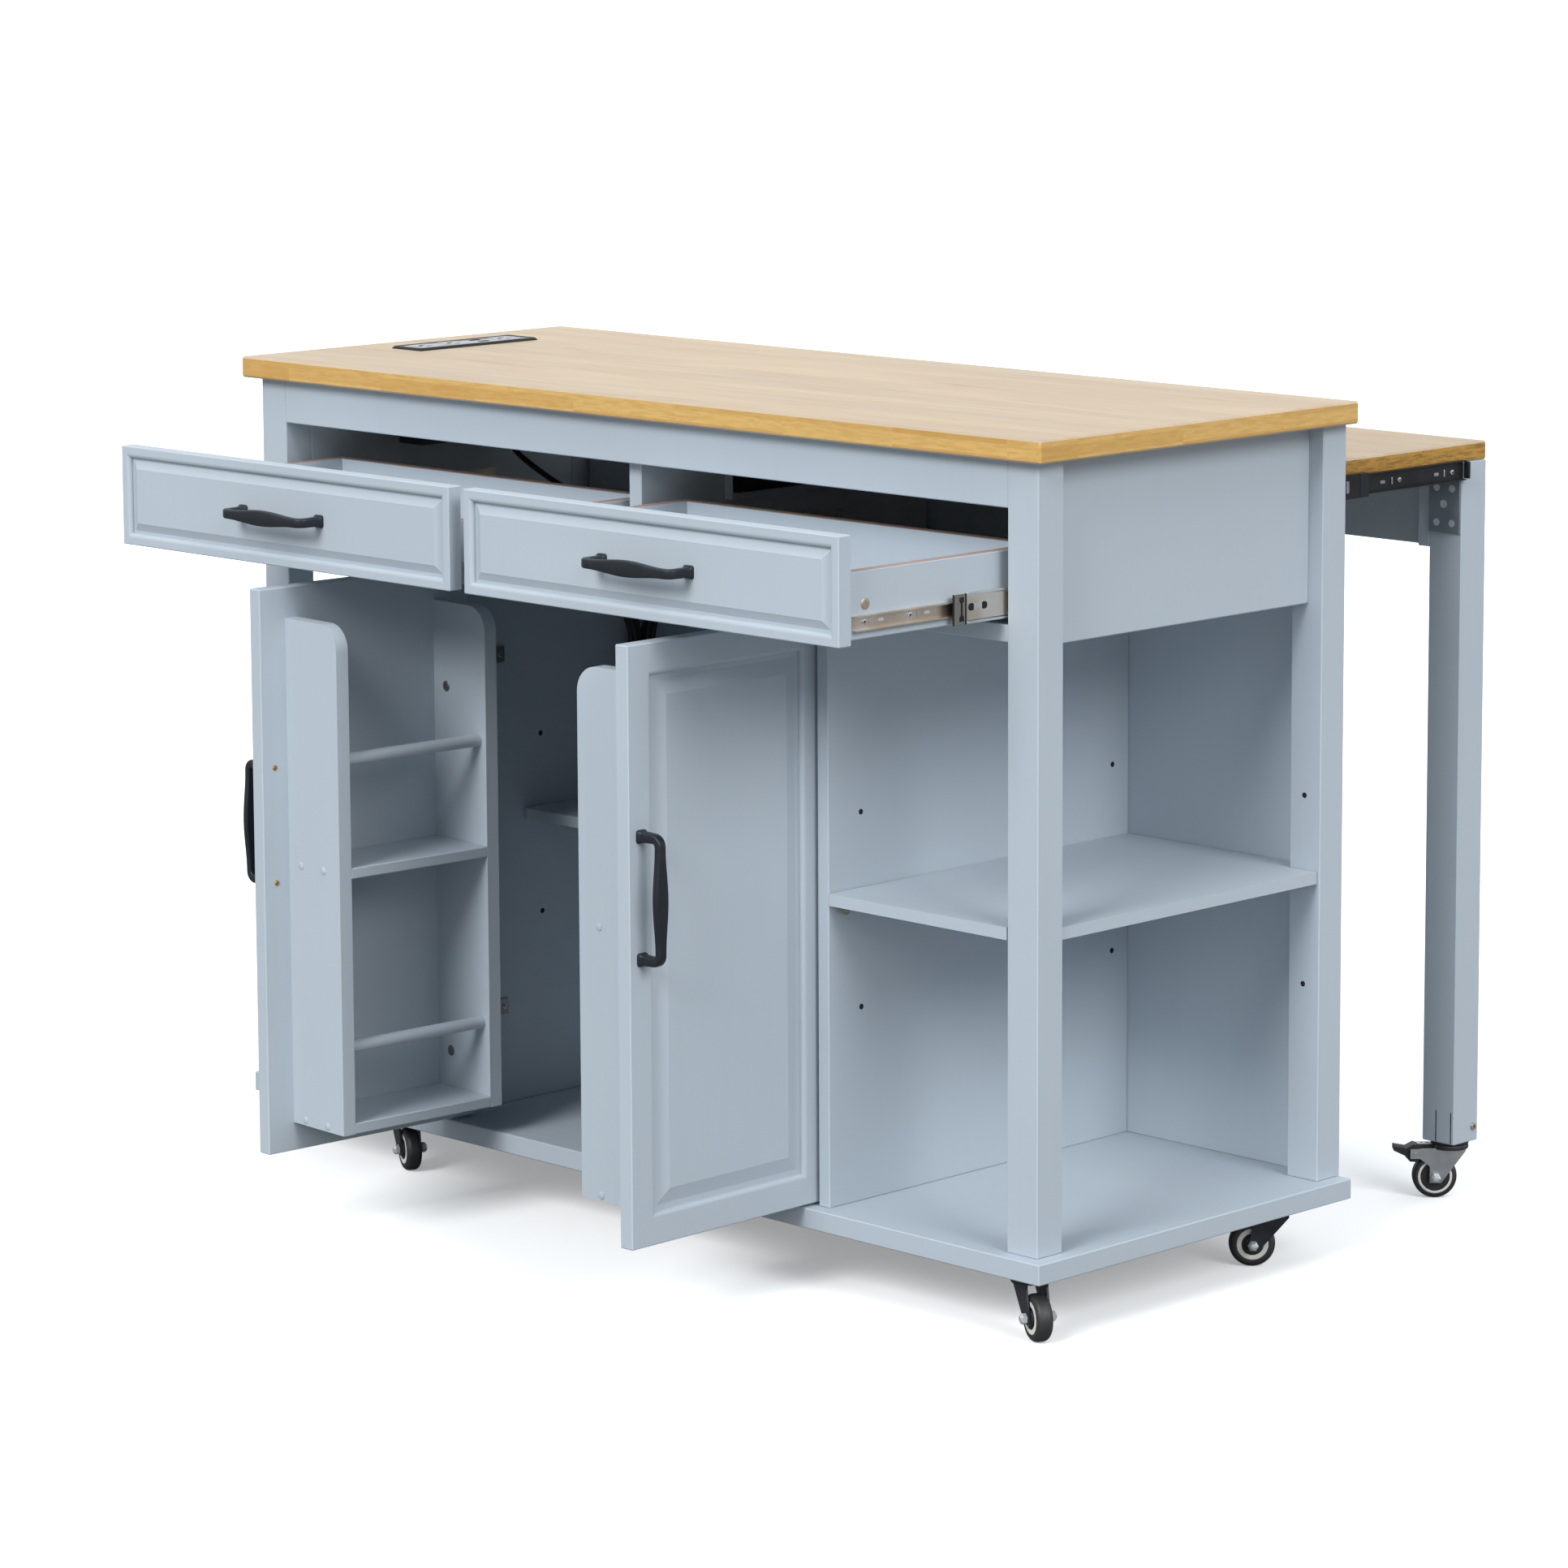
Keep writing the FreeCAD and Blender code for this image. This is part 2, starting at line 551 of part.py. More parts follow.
def door(hand):
    panel = moved(raised_panel("door_wide", "door_high", "door_margin", "door_mould",
                               "door_bevel"),
                  mirrored(("-door_free", "pivot_in"), hand)[0], "-pivot_back", "door_low")
    for level in HINGE_LEVELS:
        panel = less(panel, hinge_knuckle(hand, level, "0"),
                     hinge_lugs(hand, level, "door_inner + cup_flange"),
                     cup_space(hand, level, "cup_deep", "cup_deep"))
    return panel


def hinge_cups(hand):
    for level in HINGE_LEVELS:
        cup = less(joined(cup_space(hand, level, "cup_deep", "0"),
                          hinge_lugs(hand, level, "lug_half")),
                   hinge_knuckle(hand, level, "0"))
        flange = block(mirrored(("-rack_hinge + barrel_gap", "-notch_half - cup_flange"), hand),
                       ("door_inner", "door_inner + cup_flange"),
                       (f"{level} - cup_across / 2 - cup_deep",
                        f"{level} + cup_across / 2 + cup_deep"))
        pin = rod("0", "0", f"{level} - notch_high * 2 / 3", "hinge_pin", "notch_high * 4 / 3")
        yield joined(cup, flange, pin)


def hinge_plates():
    """The fixed half of each hinge: a plate on the partition, a riser, an arm and a barrel."""
    for hand in BOTH:
        for level in HINGE_LEVELS:
            tall = (f"{level} - notch_high / 2 + barrel_gap",
                    f"{level} + notch_high / 2 - barrel_gap")
            barrel = moved(rod("0", "0", tall[0], "barrel_across",
                               "notch_high - barrel_gap * 2"), "0", "0", tall[0])
            arm = block(mirrored(("-arm_wide / 2", "arm_wide / 2"), hand),
                        ("0", "riser_from + riser_long"), tall)
            riser = block(mirrored(("-arm_wide / 2", "wall_x"), hand),
                          ("riser_from", "riser_from + riser_long"), tall)
            plate = block(mirrored(("wall_x - plate_thick", "wall_x"), hand),
                          ("riser_from", "riser_from + plate_long"),
                          (f"{level} - plate_high / 2", f"{level} + plate_high / 2"))
            bore = rod("0", "0", f"{level} - notch_high", "hinge_pin + hinge_fit * 2",
                       "notch_high * 2")
            whole = less(joined(barrel, arm, riser, plate), bore)
            seat = doc.addObject("Part::Compound", "seat")
            seat.Links = [whole]
            yield bind(seat, Placement__Base__x=f"{hand} * pivot_x",
                       Placement__Base__y="pivot_y")


node("hinge_plates", *hinge_plates())


def rack(hand):
    """Shelves and rails between two side boards on the inner face of a door."""
    deep = ("door_inner", "rack_end")

    def side_board(x):
        flank = block(x, deep, ("rack_low", "rack_top"))

        def top_edge(edge):
            middle = edge.CenterOfMass
            return near(middle.y, "rack_end") and near(middle.z, "rack_top")
        return rounded(flank, "rack_round", top_edge)
    hinge_side = mirrored(("-rack_hinge - rack_board", "-rack_hinge"), hand)
    free_side = mirrored(("-rack_free", "-rack_free + rack_board"), hand)
    inside = mirrored(("-rack_free + rack_board", "-rack_hinge - rack_board"), hand)
    yield side_board(hinge_side)
    yield side_board(free_side)
    for top in ("rack_low + rack_shelf", "rack_shelf_top"):
        yield board(inside, deep, (f"{top} - rack_shelf", top))
    for level in ("rack_low + rack_shelf + rod_over_low", "rack_shelf_top + rod_over_shelf"):
        yield rod(inside[0], "rack_end - rod_set", level, "rod_across",
                  "rack_free - rack_hinge - rack_board * 2", V(1, 0, 0))


for hand, name in SIDES:
    at = dict(x=f"{hand} * pivot_x", y="pivot_y - frame_mid",
              turn=f"{hand} * door_open_{name}")
    node(f"door_panel_{name}", door(hand), **at)
    node(f"door_rack_{name}", *rack(hand), **at)
    node(f"door_hinge_cups_{name}", *hinge_cups(hand), **at)
    node(f"door_handle_{name}",
         moved(handle(False), f"-{hand} * (door_free - door_handle_in)", "-pivot_back",
               "door_handle_level"), **at)

# Pull-out leaf on its own legs
leaf_x = ("leaf_left", "leaf_right")
node("leaf_board", board(leaf_x, ("leaf_front", "leaf_back"), ("leaf_low", "leaf_top"),
                         "leaf_ease"))
leg_spans = (("leaf_right - leg_wide", "leaf_right"), ("leaf_left", "leaf_left + leg_wide"))
leg_mid_y = "leg_front + leg_deep / 2"
node("leaf_legs", *[less(board(span, ("leg_front", "leaf_back"), ("leg_low", "leaf_low")),
                         rod(f"({span[0]} + {span[1]}) / 2", leg_mid_y, "leg_low - leg_deep",
                             "stem_across + bore_fit * 2", "leg_deep + stem_long + swivel_gap"))
                    for span in leg_spans])
apron_y = ("leaf_back - leaf_apron_set - leaf_apron_thick", "leaf_back - leaf_apron_set")
between = ("leaf_left + leg_wide", "leaf_right - leg_wide")
hang = ("leaf_low - leaf_apron_high", "leaf_low")
batten_y = ("leaf_front + batten_wide", "leg_front")
node("leaf_rails",
     board(between, apron_y, hang),
     board(("leaf_right - batten_wide", "leaf_right"), batten_y, ("batten_low", "leaf_low")),
     board(("leaf_left", "leaf_left + batten_wide"), batten_y, ("batten_low", "leaf_low")),
     board((f"{between[1]} - corner_block", between[1]), ("leg_front", apron_y[0]), hang),
     board((between[0], f"{between[0]} + corner_block"), ("leg_front", apron_y[0]), hang))


def bracket(span):
    """An angle plate that ties a leg's face to the batten above it."""
    wide = (f"({span[0]} + {span[1]}) / 2 - bracket_wide / 2",
            f"({span[0]} + {span[1]}) / 2 + bracket_wide / 2")
    upright = block(wide, ("leg_front - bracket_thick", "leg_front"),
                    ("batten_low - bracket_high", "batten_low"))
    flat = block(wide, ("leg_front - bracket_deep", "leg_front"),
                 ("batten_low - bracket_thick", "batten_low"))
    return joined(upright, flat)


node("leaf_brackets", *[bracket(span) for span in leg_spans])


# Power unit let into the worktop, and its cord

def tapered(foot, tip, wide, narrow):
    """A round taper between two points of the cord's route."""
    along = tip - foot
    cone = doc.addObject("Part::Cone", "taper")
    cone.Placement = FreeCAD.Placement(foot, FreeCAD.Rotation(V(0, 0, 1), along))
    cone.Height = along.Length
    return bind(cone, Radius1=f"({wide}) / 2", Radius2=f"({narrow}) / 2")


# The cord's strain relief slants down out of the unit's side
RELIEF_FOOT = V(size("unit_left + relief_in"), size("unit_back - relief_from_back"),
                size("unit_low + relief_up"))
RELIEF_TIP = RELIEF_FOOT + V(size("relief_run"), 0, -size("relief_drop"))

# The cord's route down behind the left drawer, along the drawer floor and through its hole
CORD_ROUTE = [RELIEF_TIP, V(-535, 343, 802), V(-509, 343.5, 788.5),
              V(-473, 344.5, 773), V(-433, 344.8, 759.5), V(-391, 344.2, 750),
              V(-352, 342.8, 747), V(-321, 341.6, 746.8), V(-296, 341, 746.5),
              V(-283.6, 340.8, 738.6), V(-276.5, 340.4, 726.2), V(-277.4, 337, 708),
              V(-277.8, 331, 692)]
CORNER_SHARE = 0.45
SMALL_TURN = 1e-6


def arc(start, heading, end):
    """The arc that leaves a point along a heading and reaches another point."""
    chord = end - start
    side = heading - chord * (heading.dot(chord) / chord.dot(chord))
    if side.Length < SMALL_TURN:
        return Part.LineSegment(start, end).toShape()
    half = heading.getAngle(chord)
    rise = chord.Length / 2 * math.tan(half / 2)
    middle = start + chord / 2 + side.normalize() * rise
    return Part.Arc(start, middle, end).toShape()


def route_path(points):
    """Straight runs joined by arcs as large as the runs allow."""
    edges, here, radii = [], points[0], []
    for before, corner, after in zip(points, points[1:], points[2:]):
        come, leave = corner - before, after - corner
        turn = come.getAngle(leave)
        reach = CORNER_SHARE * min(come.Length, leave.Length)
        radii.append(reach / math.tan(turn / 2))
        come.normalize()
        leave.normalize()
        first, last = corner - come * reach, corner + leave * reach
        edges += [Part.LineSegment(here, first).toShape(), arc(first, come, last)]
        here = last
    edges.append(Part.LineSegment(here, points[-1]).toShape())
    print("cord radii", [round(radius, 1) for radius in radii])
    return Part.Wire(edges)


def biarc(start, heading, end, facing):
    """Two arcs that join two points and the headings there."""
    gap, both = end - start, heading + facing
    spread = 2 * (1 - heading.dot(facing))
    lean = gap.dot(both)
    if spread < SMALL_TURN:
        reach = gap.dot(gap) / (2 * lean)
    else:
        reach = (math.sqrt(lean * lean + spread * gap.dot(gap)) - lean) / spread
    middle = (start + end + (heading - facing) * reach) / 2
    second = arc(end, facing * -1, middle)
    return [arc(start, heading, middle), Part.Wire([second]).Edges[0]]


def hank_place(eighth):
    """A point and heading of the hank, counted in eighths of a loop from the rear waist."""
    loops = eighth / 8
    inward = min(loops, size("hank_loops") - loops) * size("hank_step")
    fold, waist = size("hank_fold") - inward, size("hank_waist") - inward
    run, layer = size("hank_run"), size("hank_layer")
    middle_eighth = size("hank_loops") * 4
    climb = min(max((eighth - middle_eighth + 1) / 2, 0), 1)
    down, up = V(0, 0, -1), V(0, 0, 1)
    y, z, heading = {0: (waist, 0, down), 1: (fold, -run, down), 2: (0, -run - fold, V(0, -1, 0)),
                     3: (-fold, -run, up), 4: (-waist, 0, up), 5: (-fold, run, up),
                     6: (0, run + fold, V(0, 1, 0)), 7: (fold, run, down)}[eighth % 8]
    if eighth == middle_eighth:
        heading = V(layer / run, 0, 1).normalize()
    place = V(size("hank_x") + layer * climb, size("hank_y") + y, size("tie_level") + z)
    return place, heading


def hank_path():
    """Loops that spiral in, climb a layer along one run, and spiral out again."""
    eighths = range(-1, int(size("hank_loops")) * 8 + 2)
    places = [hank_place(eighth) for eighth in eighths]
    straight = size("cord_across")
    first, last = places[0], places[-1]
    edges = [Part.LineSegment(first[0] - first[1] * straight, first[0]).toShape()]
    for (start, heading), (end, facing) in zip(places, places[1:]):
        edges += biarc(start, heading, end, facing)
    edges.append(Part.LineSegment(last[0], last[0] + last[1] * straight).toShape())
    return Part.Wire(Part.__sortEdges__(edges)), edges[0].firstVertex().Point, last


def tube(path, start, heading, label):
    """A cord of one many-sided section along a path."""
    radius, sides = size("cord_across") / 2, int(size("cord_sides"))
    square = FreeCAD.Rotation(V(0, 0, 1), heading)
    spoke = FreeCAD.Rotation(V(0, 0, 1), 360 / sides)
    corners = [V(radius, 0, 0)]
    for _ in range(sides):
        corners.append(spoke.multVec(corners[-1]))
    ring = Part.makePolygon([start + square.multVec(corner) for corner in corners[:sides]]
                            + [start + square.multVec(corners[0])])
    solid = path.makePipeShell([ring], True, False)
    true = Part.Face(ring).Area * path.Length
    print(label, "length", round(path.Length, 1), "volume share", round(solid.Volume / true, 4))
    feature = doc.addObject("Part::Feature", "tube")
    feature.Shape = solid
    return feature


def least_gap(path, across):
    """The least distance between two stretches of a path, less the cord's thickness."""
    points = path.discretize(Distance=across / 2)
    apart = 8
    least = min((a - b).Length for i, a in enumerate(points) for b in points[i + apart:])
    print("least gap of the hank to itself", round(least - across, 2))


hank, hank_start, (hank_end, hank_heading) = hank_path()
least_gap(hank, size("cord_across"))
CORD_ROUTE.append(hank_start)
cord = route_path(CORD_ROUTE)
node("power_faceplate",
     board(("unit_left", "unit_left + unit_wide"), ("unit_front", "unit_back"),
           ("island_height", "island_height + unit_lip_thick")))
node("power_body", joined(
    block(unit_x, unit_y, ("unit_low", "island_height")),
    tapered(RELIEF_FOOT, CORD_ROUTE[0], "relief_across", "cord_across + tie_thick")))
node("power_cord", tube(cord, CORD_ROUTE[0], CORD_ROUTE[1] - CORD_ROUTE[0], "cord"))
node("power_cord_hank", tube(hank, hank_start, V(0, 0, -1), "hank"))

tie_x = ("hank_x - cord_across / 2 - tie_gap",
         "hank_x + hank_layer + cord_across / 2 + tie_gap")
tie_y = ("hank_y - hank_waist + hank_step / 2 - cord_across / 2 - tie_gap",
         "hank_y + hank_waist + cord_across / 2 + tie_gap")
tie_z = ("tie_level - tie_high / 2", "tie_level + tie_high / 2")


def grown(span, by):
    return (f"{span[0]} - {by}", f"{span[1]} + {by}")


node("cord_tie", less(block(grown(tie_x, "tie_thick"), grown(tie_y, "tie_thick"), tie_z),
                      block(tie_x, tie_y, grown(tie_z, "tie_thick"))))


def plug():
    """A moulded plug with two blades and a round earth pin, hanging from the cord's end."""
    end = hank_end + hank_heading * size("cord_across")
    neck_end = end + hank_heading * size("plug_relief")
    neck = tapered(neck_end, end, "relief_across", "cord_across + tie_thick")
    x, y = "hank_x + hank_layer", "hank_y + hank_fold + hank_step / 8"
    top = "tie_level - hank_run - cord_across - plug_relief"
    foot = f"{top} - plug_long"
    body = rounded(block((f"{x} - plug_thick / 2", f"{x} + plug_thick / 2"),
                         (f"{y} - plug_wide / 2", f"{y} + plug_wide / 2"), (foot, top)),
                   "plug_thick / 5", lambda edge: edge.Length > size("plug_long - bore_fit"))
    blades = [block((f"{x} - blade_wide / 2", f"{x} + blade_wide / 2"),
                    (f"{y} + {side} * blade_apart / 2 - blade_thick / 2",
                     f"{y} + {side} * blade_apart / 2 + blade_thick / 2"),
                    (f"{foot} - blade_long", foot)) for side in BOTH]
    return joined(neck, body, *blades)


node("power_plug", plug())

# Casters: each is built with its swivel axis upright at nought and the wheel out along X


def wheel():
    """A wheel with bevelled shoulders, a hub that stands proud at both sides, and its bore."""
    along = V(0, 1, 0)
    tyre = bar("0", "-wheel_wide / 2", "0", "wheel_across / cos(180 / wheel_sides)", "wheel_wide",
               "wheel_sides", along)
    side = size("wheel_across") * math.tan(math.pi / size("wheel_sides"))
    tyre = worked("Part::Chamfer", tyre, "wheel_round / 2",
                  lambda edge: abs(edge.Length - side) < size("bore_fit"))
    hub = bar("0", "-wheel_wide / 2 - hub_proud", "0", "hub_across", "wheel_wide + hub_proud * 2",
              "collar_sides", along)
    bore = rod("0", "-wheel_wide", "0", "axle_across + bore_fit * 2", "wheel_wide * 2", along)
    return less(joined(tyre, hub), bore)


def cheek(side, trail, under, ear):
    """One side of a fork: wide at the crown and narrow at the axle."""
    half = "fork_wide_axle / 2"
    top = f"{under} + fork_top"
    points = [("-fork_wide_top / 2", top), ("-fork_wide_top / 2", f"{under} - fork_top"),
              (f"{trail} - {half}", f"wheel_radius - {half}"),
              (f"{trail} + {half}", f"wheel_radius - {half}")]
    if ear:
        points += [(f"{trail} + {half}", "wheel_radius + wheel_radius / 2"),
                   ("ear_out - ear_across / 2", "pedal_level - ear_across / 2"),
                   ("ear_out + ear_across / 2", "pedal_level - ear_across / 2"),
                   ("ear_out + ear_across / 2", "pedal_level + ear_across / 2"),
                   ("fork_wide_top / 2", f"{under}"), ("fork_wide_top / 2", top)]
    else:
        points += [("fork_wide_top / 2 + cheek_thick", f"{under} - fork_top"),
                   ("fork_wide_top / 2 + cheek_thick", top)]
    near_face = "cheek_in" if side > 0 else "-cheek_in - cheek_thick"
    return prism("XZ_Plane", points, "cheek_thick", backwards=True, offset=f"-({near_face})")


def fork(trail, under, ear=False):
    """A crown with two cheeks, and the axle bolt with its head and nut."""
    reach = "cheek_in + cheek_thick"
    crown = bar("0", "0", under, "fork_crown", "fork_top", "collar_sides")
    cheeks = [cheek(side, trail, under, ear) for side in BOTH]
    bolt = rod(trail, f"-({reach})", "wheel_radius", "axle_across", f"({reach}) * 2",
               V(0, 1, 0))
    heads = [bar(trail, start, "wheel_radius", "nut_across", "nut_high", "nut_sides", V(0, 1, 0))
             for start in (reach, f"-({reach}) - nut_high")]
    pieces = [crown, *cheeks, bolt, *heads]
    if ear:
        pieces.append(rod("ear_out", f"-({reach}) - pin_head", "pedal_level", "pedal_pin",
                          f"({reach} + pin_head) * 2", V(0, 1, 0)))
    eye = rod("0", "0", f"{under} - fork_top", "kingpin + bore_fit * 2", "fork_top * 3")
    return [less(joined(*pieces), eye)]


def swivel_pin(under):
    """The rivet that holds a fork's crown, with its head below."""
    shank = rod("0", "0", f"{under} - swivel_gap - pin_head", "kingpin",
                f"pin_head + swivel_gap * 2 + fork_top + race_high")
    head = bar("0", "0", f"{under} - swivel_gap - pin_head", "kingpin + pin_head * 2",
               "pin_head", "collar_sides")
    return [shank, head]


def base_plate(x, y):
    plate = board(("-plate_side / 2", "plate_side / 2"), ("-plate_side / 2", "plate_side / 2"),
                  ("caster_height - caster_plate", "caster_height"), "bore_fit * 10")
    race = bar("0", "0", "caster_height - caster_plate - race_high", "race_across",
               "race_high", "collar_sides")
    whole = joined(plate, race, *swivel_pin("fork_under"))
    seat = doc.addObject("Part::Compound", "seat")
    seat.Links = [whole]
    return bind(seat, Placement__Base__x=x, Placement__Base__y=y)


BASE_CASTERS = {
    "front_right": ("half_top - right_caster_in", "right_caster_front", "front_caster_turn"),
    "front_left": ("left_caster_in - half_top", "left_caster_front", "front_caster_turn"),
    "back_right": ("half_top - right_caster_in", "back_caster_y", "back_caster_turn"),
    "back_left": ("left_caster_in - half_top", "back_caster_y", "back_caster_turn"),
}
node("caster_plates", *[base_plate(x, y) for x, y, turn in BASE_CASTERS.values()])
for name, (x, y, turn) in BASE_CASTERS.items():
    at = dict(x=x, y=f"{y} - frame_mid", turn=turn)
    node(f"caster_fork_{name}", *fork("trail", "fork_under"), **at)
    node(f"caster_wheel_{name}", moved(wheel(), "trail", "0", "wheel_radius"), **at)

LEAF_CASTERS = {"right": "leaf_right - leg_wide / 2", "left": "leaf_left + leg_wide / 2"}


def stem(x):
    race = bar("0", "0", "leg_low - race_high", "leaf_race_across", "race_high",
               "collar_sides")
    shaft = rod("0", "0", "leg_low", "stem_across", "stem_long")
    whole = joined(race, shaft, *swivel_pin("leaf_fork_under"))
    seat = doc.addObject("Part::Compound", "seat")
    seat.Links = [whole]
    return bind(seat, Placement__Base__x=x, Placement__Base__y=leg_mid_y)


node("leaf_caster_stems", *[stem(x) for x in LEAF_CASTERS.values()])

# The brake pedal's outline from its pin, as shares of its length
PEDAL_SHARES = ((-0.2, 0.08), (-0.16, 0.2), (0.04, 0.26), (0.26, 0.14), (0.6, 0.2), (0.6, 0.08),
                (0.3, -0.06), (0.14, -0.24), (-0.05, -0.25), (-0.11, -0.08))


def pedal():
    points = [(f"ear_out + {across} * pedal_long", f"pedal_level + {up} * pedal_long")
              for across, up in PEDAL_SHARES]
    lever = prism("XZ_Plane", points, "pedal_wide", backwards=True, offset="pedal_wide / 2")
    return less(lever, rod("ear_out", "-pedal_wide", "pedal_level",
                           "pedal_pin + bore_fit * 2", "pedal_wide * 2", V(0, 1, 0)))


for name, x in LEAF_CASTERS.items():
    at = dict(x=x, y=f"{leg_mid_y} - frame_mid", turn="back_caster_turn")
    node(f"leaf_caster_fork_{name}", *fork("leaf_trail", "leaf_fork_under", ear=True), **at)
    node(f"leaf_caster_wheel_{name}", moved(wheel(), "leaf_trail", "0", "wheel_radius"), **at)
    node(f"leaf_caster_pedal_{name}", pedal(), **at)

# Check every object, then write each node
doc.recompute()
for thing in doc.Objects:
    if "Invalid" in thing.State or "Error" in thing.State:
        raise RuntimeError(f"{thing.Name} ({thing.Label}) is {thing.State}")
os.makedirs("parts", exist_ok=True)
box = FreeCAD.BoundBox()
for group in NODES:
    shape = group.Shape
    if shape.isNull() or not shape.isValid() or not shape.Solids:
        raise RuntimeError(f"{group.Label} has no valid shape")
    shape.exportStep(f"parts/{group.Label}.step")
    box.add(shape.BoundBox)
    print(group.Label, len(shape.Solids), round(shape.Volume))
print(len(NODES), "nodes", box)
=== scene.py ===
# %% [markdown]
# # A painted kitchen island on casters
# The island is a painted board cabinet under an oak worktop. Two drawers and two doors stand open, and
# a leaf on its own legs is pulled out at the back. Every board, slide, hinge and caster comes as an
# exact solid, so this lesson is about what a camera sees on top of that: light, paint, wood, plated
# steel, a cord that hangs under its own weight, and the small fittings that a real island has.

# %% Load the solids and keep their box
import json
import math

import bmesh
import bpy
from mathutils import Matrix, Vector


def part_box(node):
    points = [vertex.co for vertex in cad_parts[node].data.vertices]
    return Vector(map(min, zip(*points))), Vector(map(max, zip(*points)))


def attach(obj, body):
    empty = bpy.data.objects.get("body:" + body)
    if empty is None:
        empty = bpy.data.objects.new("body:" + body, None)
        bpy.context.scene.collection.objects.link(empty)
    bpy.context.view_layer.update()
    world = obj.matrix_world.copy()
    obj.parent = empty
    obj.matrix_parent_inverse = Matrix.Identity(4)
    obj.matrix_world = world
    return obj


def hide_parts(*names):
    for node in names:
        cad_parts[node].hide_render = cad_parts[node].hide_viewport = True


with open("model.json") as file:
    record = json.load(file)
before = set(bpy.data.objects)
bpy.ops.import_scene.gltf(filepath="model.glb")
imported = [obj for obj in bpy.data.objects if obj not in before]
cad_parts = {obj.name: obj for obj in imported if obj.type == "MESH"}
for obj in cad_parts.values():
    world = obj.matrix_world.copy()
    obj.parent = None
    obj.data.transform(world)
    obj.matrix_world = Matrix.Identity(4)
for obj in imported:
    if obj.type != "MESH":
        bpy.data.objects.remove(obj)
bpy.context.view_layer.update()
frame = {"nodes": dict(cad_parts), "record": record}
NODES = frame["nodes"]
scene = bpy.context.scene
scene.view_settings.view_transform = "Standard"
MM = 0.001
HANDS = {"right": 1, "left": -1}
BOTH = (1, -1)

# %% [markdown]
# ## The camera
# The island was photographed with a long lens from its front right corner, a little above the worktop.
# The camera looks slightly down, and the picture's middle lies lower than the lens's, which a shift of
# the lens repeats. The three directions of the camera are worked out from its turn, tilt and roll and
# set as the columns of its matrix, which leaves no doubt about the order of turns.

# %% Camera
TURN, TILT, ROLL = math.radians(45.16), math.radians(8.23), math.radians(-0.28)
PICTURE, FOCAL_PIXELS, LENS_ROW = 1932, 6802.8, 734
CAMERA_PLACE = (4.3193, -4.3117, 1.5710)


def add(name, data):
    """A new object in the scene."""
    made = bpy.data.objects.new(name, data)
    scene.collection.objects.link(made)
    return made


camera_data = bpy.data.cameras.new("corner_view")
camera = add("corner_view", camera_data)
scene.camera = camera
camera_data.sensor_width = 36
camera_data.lens = FOCAL_PIXELS / PICTURE * camera_data.sensor_width
camera_data.shift_y = -(PICTURE / 2 - LENS_ROW) / PICTURE
camera_data.clip_start, camera_data.clip_end = 0.1, 400
ahead = Vector((-math.sin(TURN) * math.cos(TILT), math.cos(TURN) * math.cos(TILT), -math.sin(TILT)))
level_right = Vector((math.cos(TURN), math.sin(TURN), 0))
level_up = level_right.cross(ahead)
right = level_right * math.cos(ROLL) + level_up * math.sin(ROLL)
look = Matrix((right, right.cross(ahead), -ahead)).transposed().to_4x4()
look.translation = Vector(CAMERA_PLACE)
camera.matrix_world = look
print("lens", round(camera_data.lens, 2), "mm")

# %% [markdown]
# ## Node trees, one node a line
# Light, finishes and fittings are all node trees. A small class writes them one node a line: it makes a
# node, sets what it is told, and joins or fills each input by its name.

# %% Colours and node trees
def srgb(code):
    """A colour written as in a paint chart, turned into the numbers that light is summed in."""
    shares = [int(code[i:i + 2], 16) / 255 for i in (0, 2, 4)]
    return tuple(s / 12.92 if s <= 0.04045 else ((s + 0.055) / 1.055) ** 2.4 for s in shares) + (1,)


class Tree:
    """A node tree that is written one node a line."""

    def __init__(self, tree):
        self.tree = tree

    def node(self, kind, settings=None, **inputs):
        made = self.tree.nodes.new(kind)
        for name, value in (settings or {}).items():
            setattr(made, name, value)
        for name, value in inputs.items():
            self.feed(made.inputs[name.replace("_", " ")], value)
        return made

    def feed(self, socket, value):
        if isinstance(value, bpy.types.NodeSocket):
            self.tree.links.new(value, socket)
        else:
            socket.default_value = value

    def sum(self, operation, *terms):
        made = self.node("ShaderNodeMath", {"operation": operation})
        for socket, term in zip(made.inputs, terms):
            self.feed(socket, term)
        return made.outputs[0]

    def ramp(self, value, low, high, to_low=0.0, to_high=1.0):
        return self.node("ShaderNodeMapRange", {"interpolation_type": "SMOOTHSTEP"}, Value=value,
                         From_Min=low, From_Max=high, To_Min=to_low, To_Max=to_high).outputs[0]

    def blend(self, share, first, second):
        made = self.node("ShaderNodeMix", {"data_type": "RGBA"}, Factor=share, A=first, B=second)
        return made.outputs["Result"]

    def stretched(self, place, scale):
        return self.node("ShaderNodeMapping", Vector=place, Scale=scale).outputs[0]

    def noise(self, place, scale, detail, **more):
        return self.node("ShaderNodeTexNoise", Vector=place, Scale=scale, Detail=detail,
                         **more).outputs["Fac"]

    def chance(self, across, along):
        made = self.node("ShaderNodeTexWhiteNoise", {"noise_dimensions": "2D"},
                         Vector=self.node("ShaderNodeCombineXYZ", X=across, Y=along).outputs[0])
        return made.outputs["Value"]


# %% [markdown]
# ## Floor and light
# The island stands on a pale studio floor that fades into a white room. A sky that is brighter above
# than at the sides, and a little blue, keeps the insides dark and cool, and two wide suns give the
# worktop, the front and the end their own levels and a soft shadow under the base. Suns are used, and
# not lamps, because a sun lights the far floor as much as the near one, so the floor stays one even
# white up to the edge of the picture. What the camera sees of the floor glows a little, because the
# photograph has only the faintest shadow there.

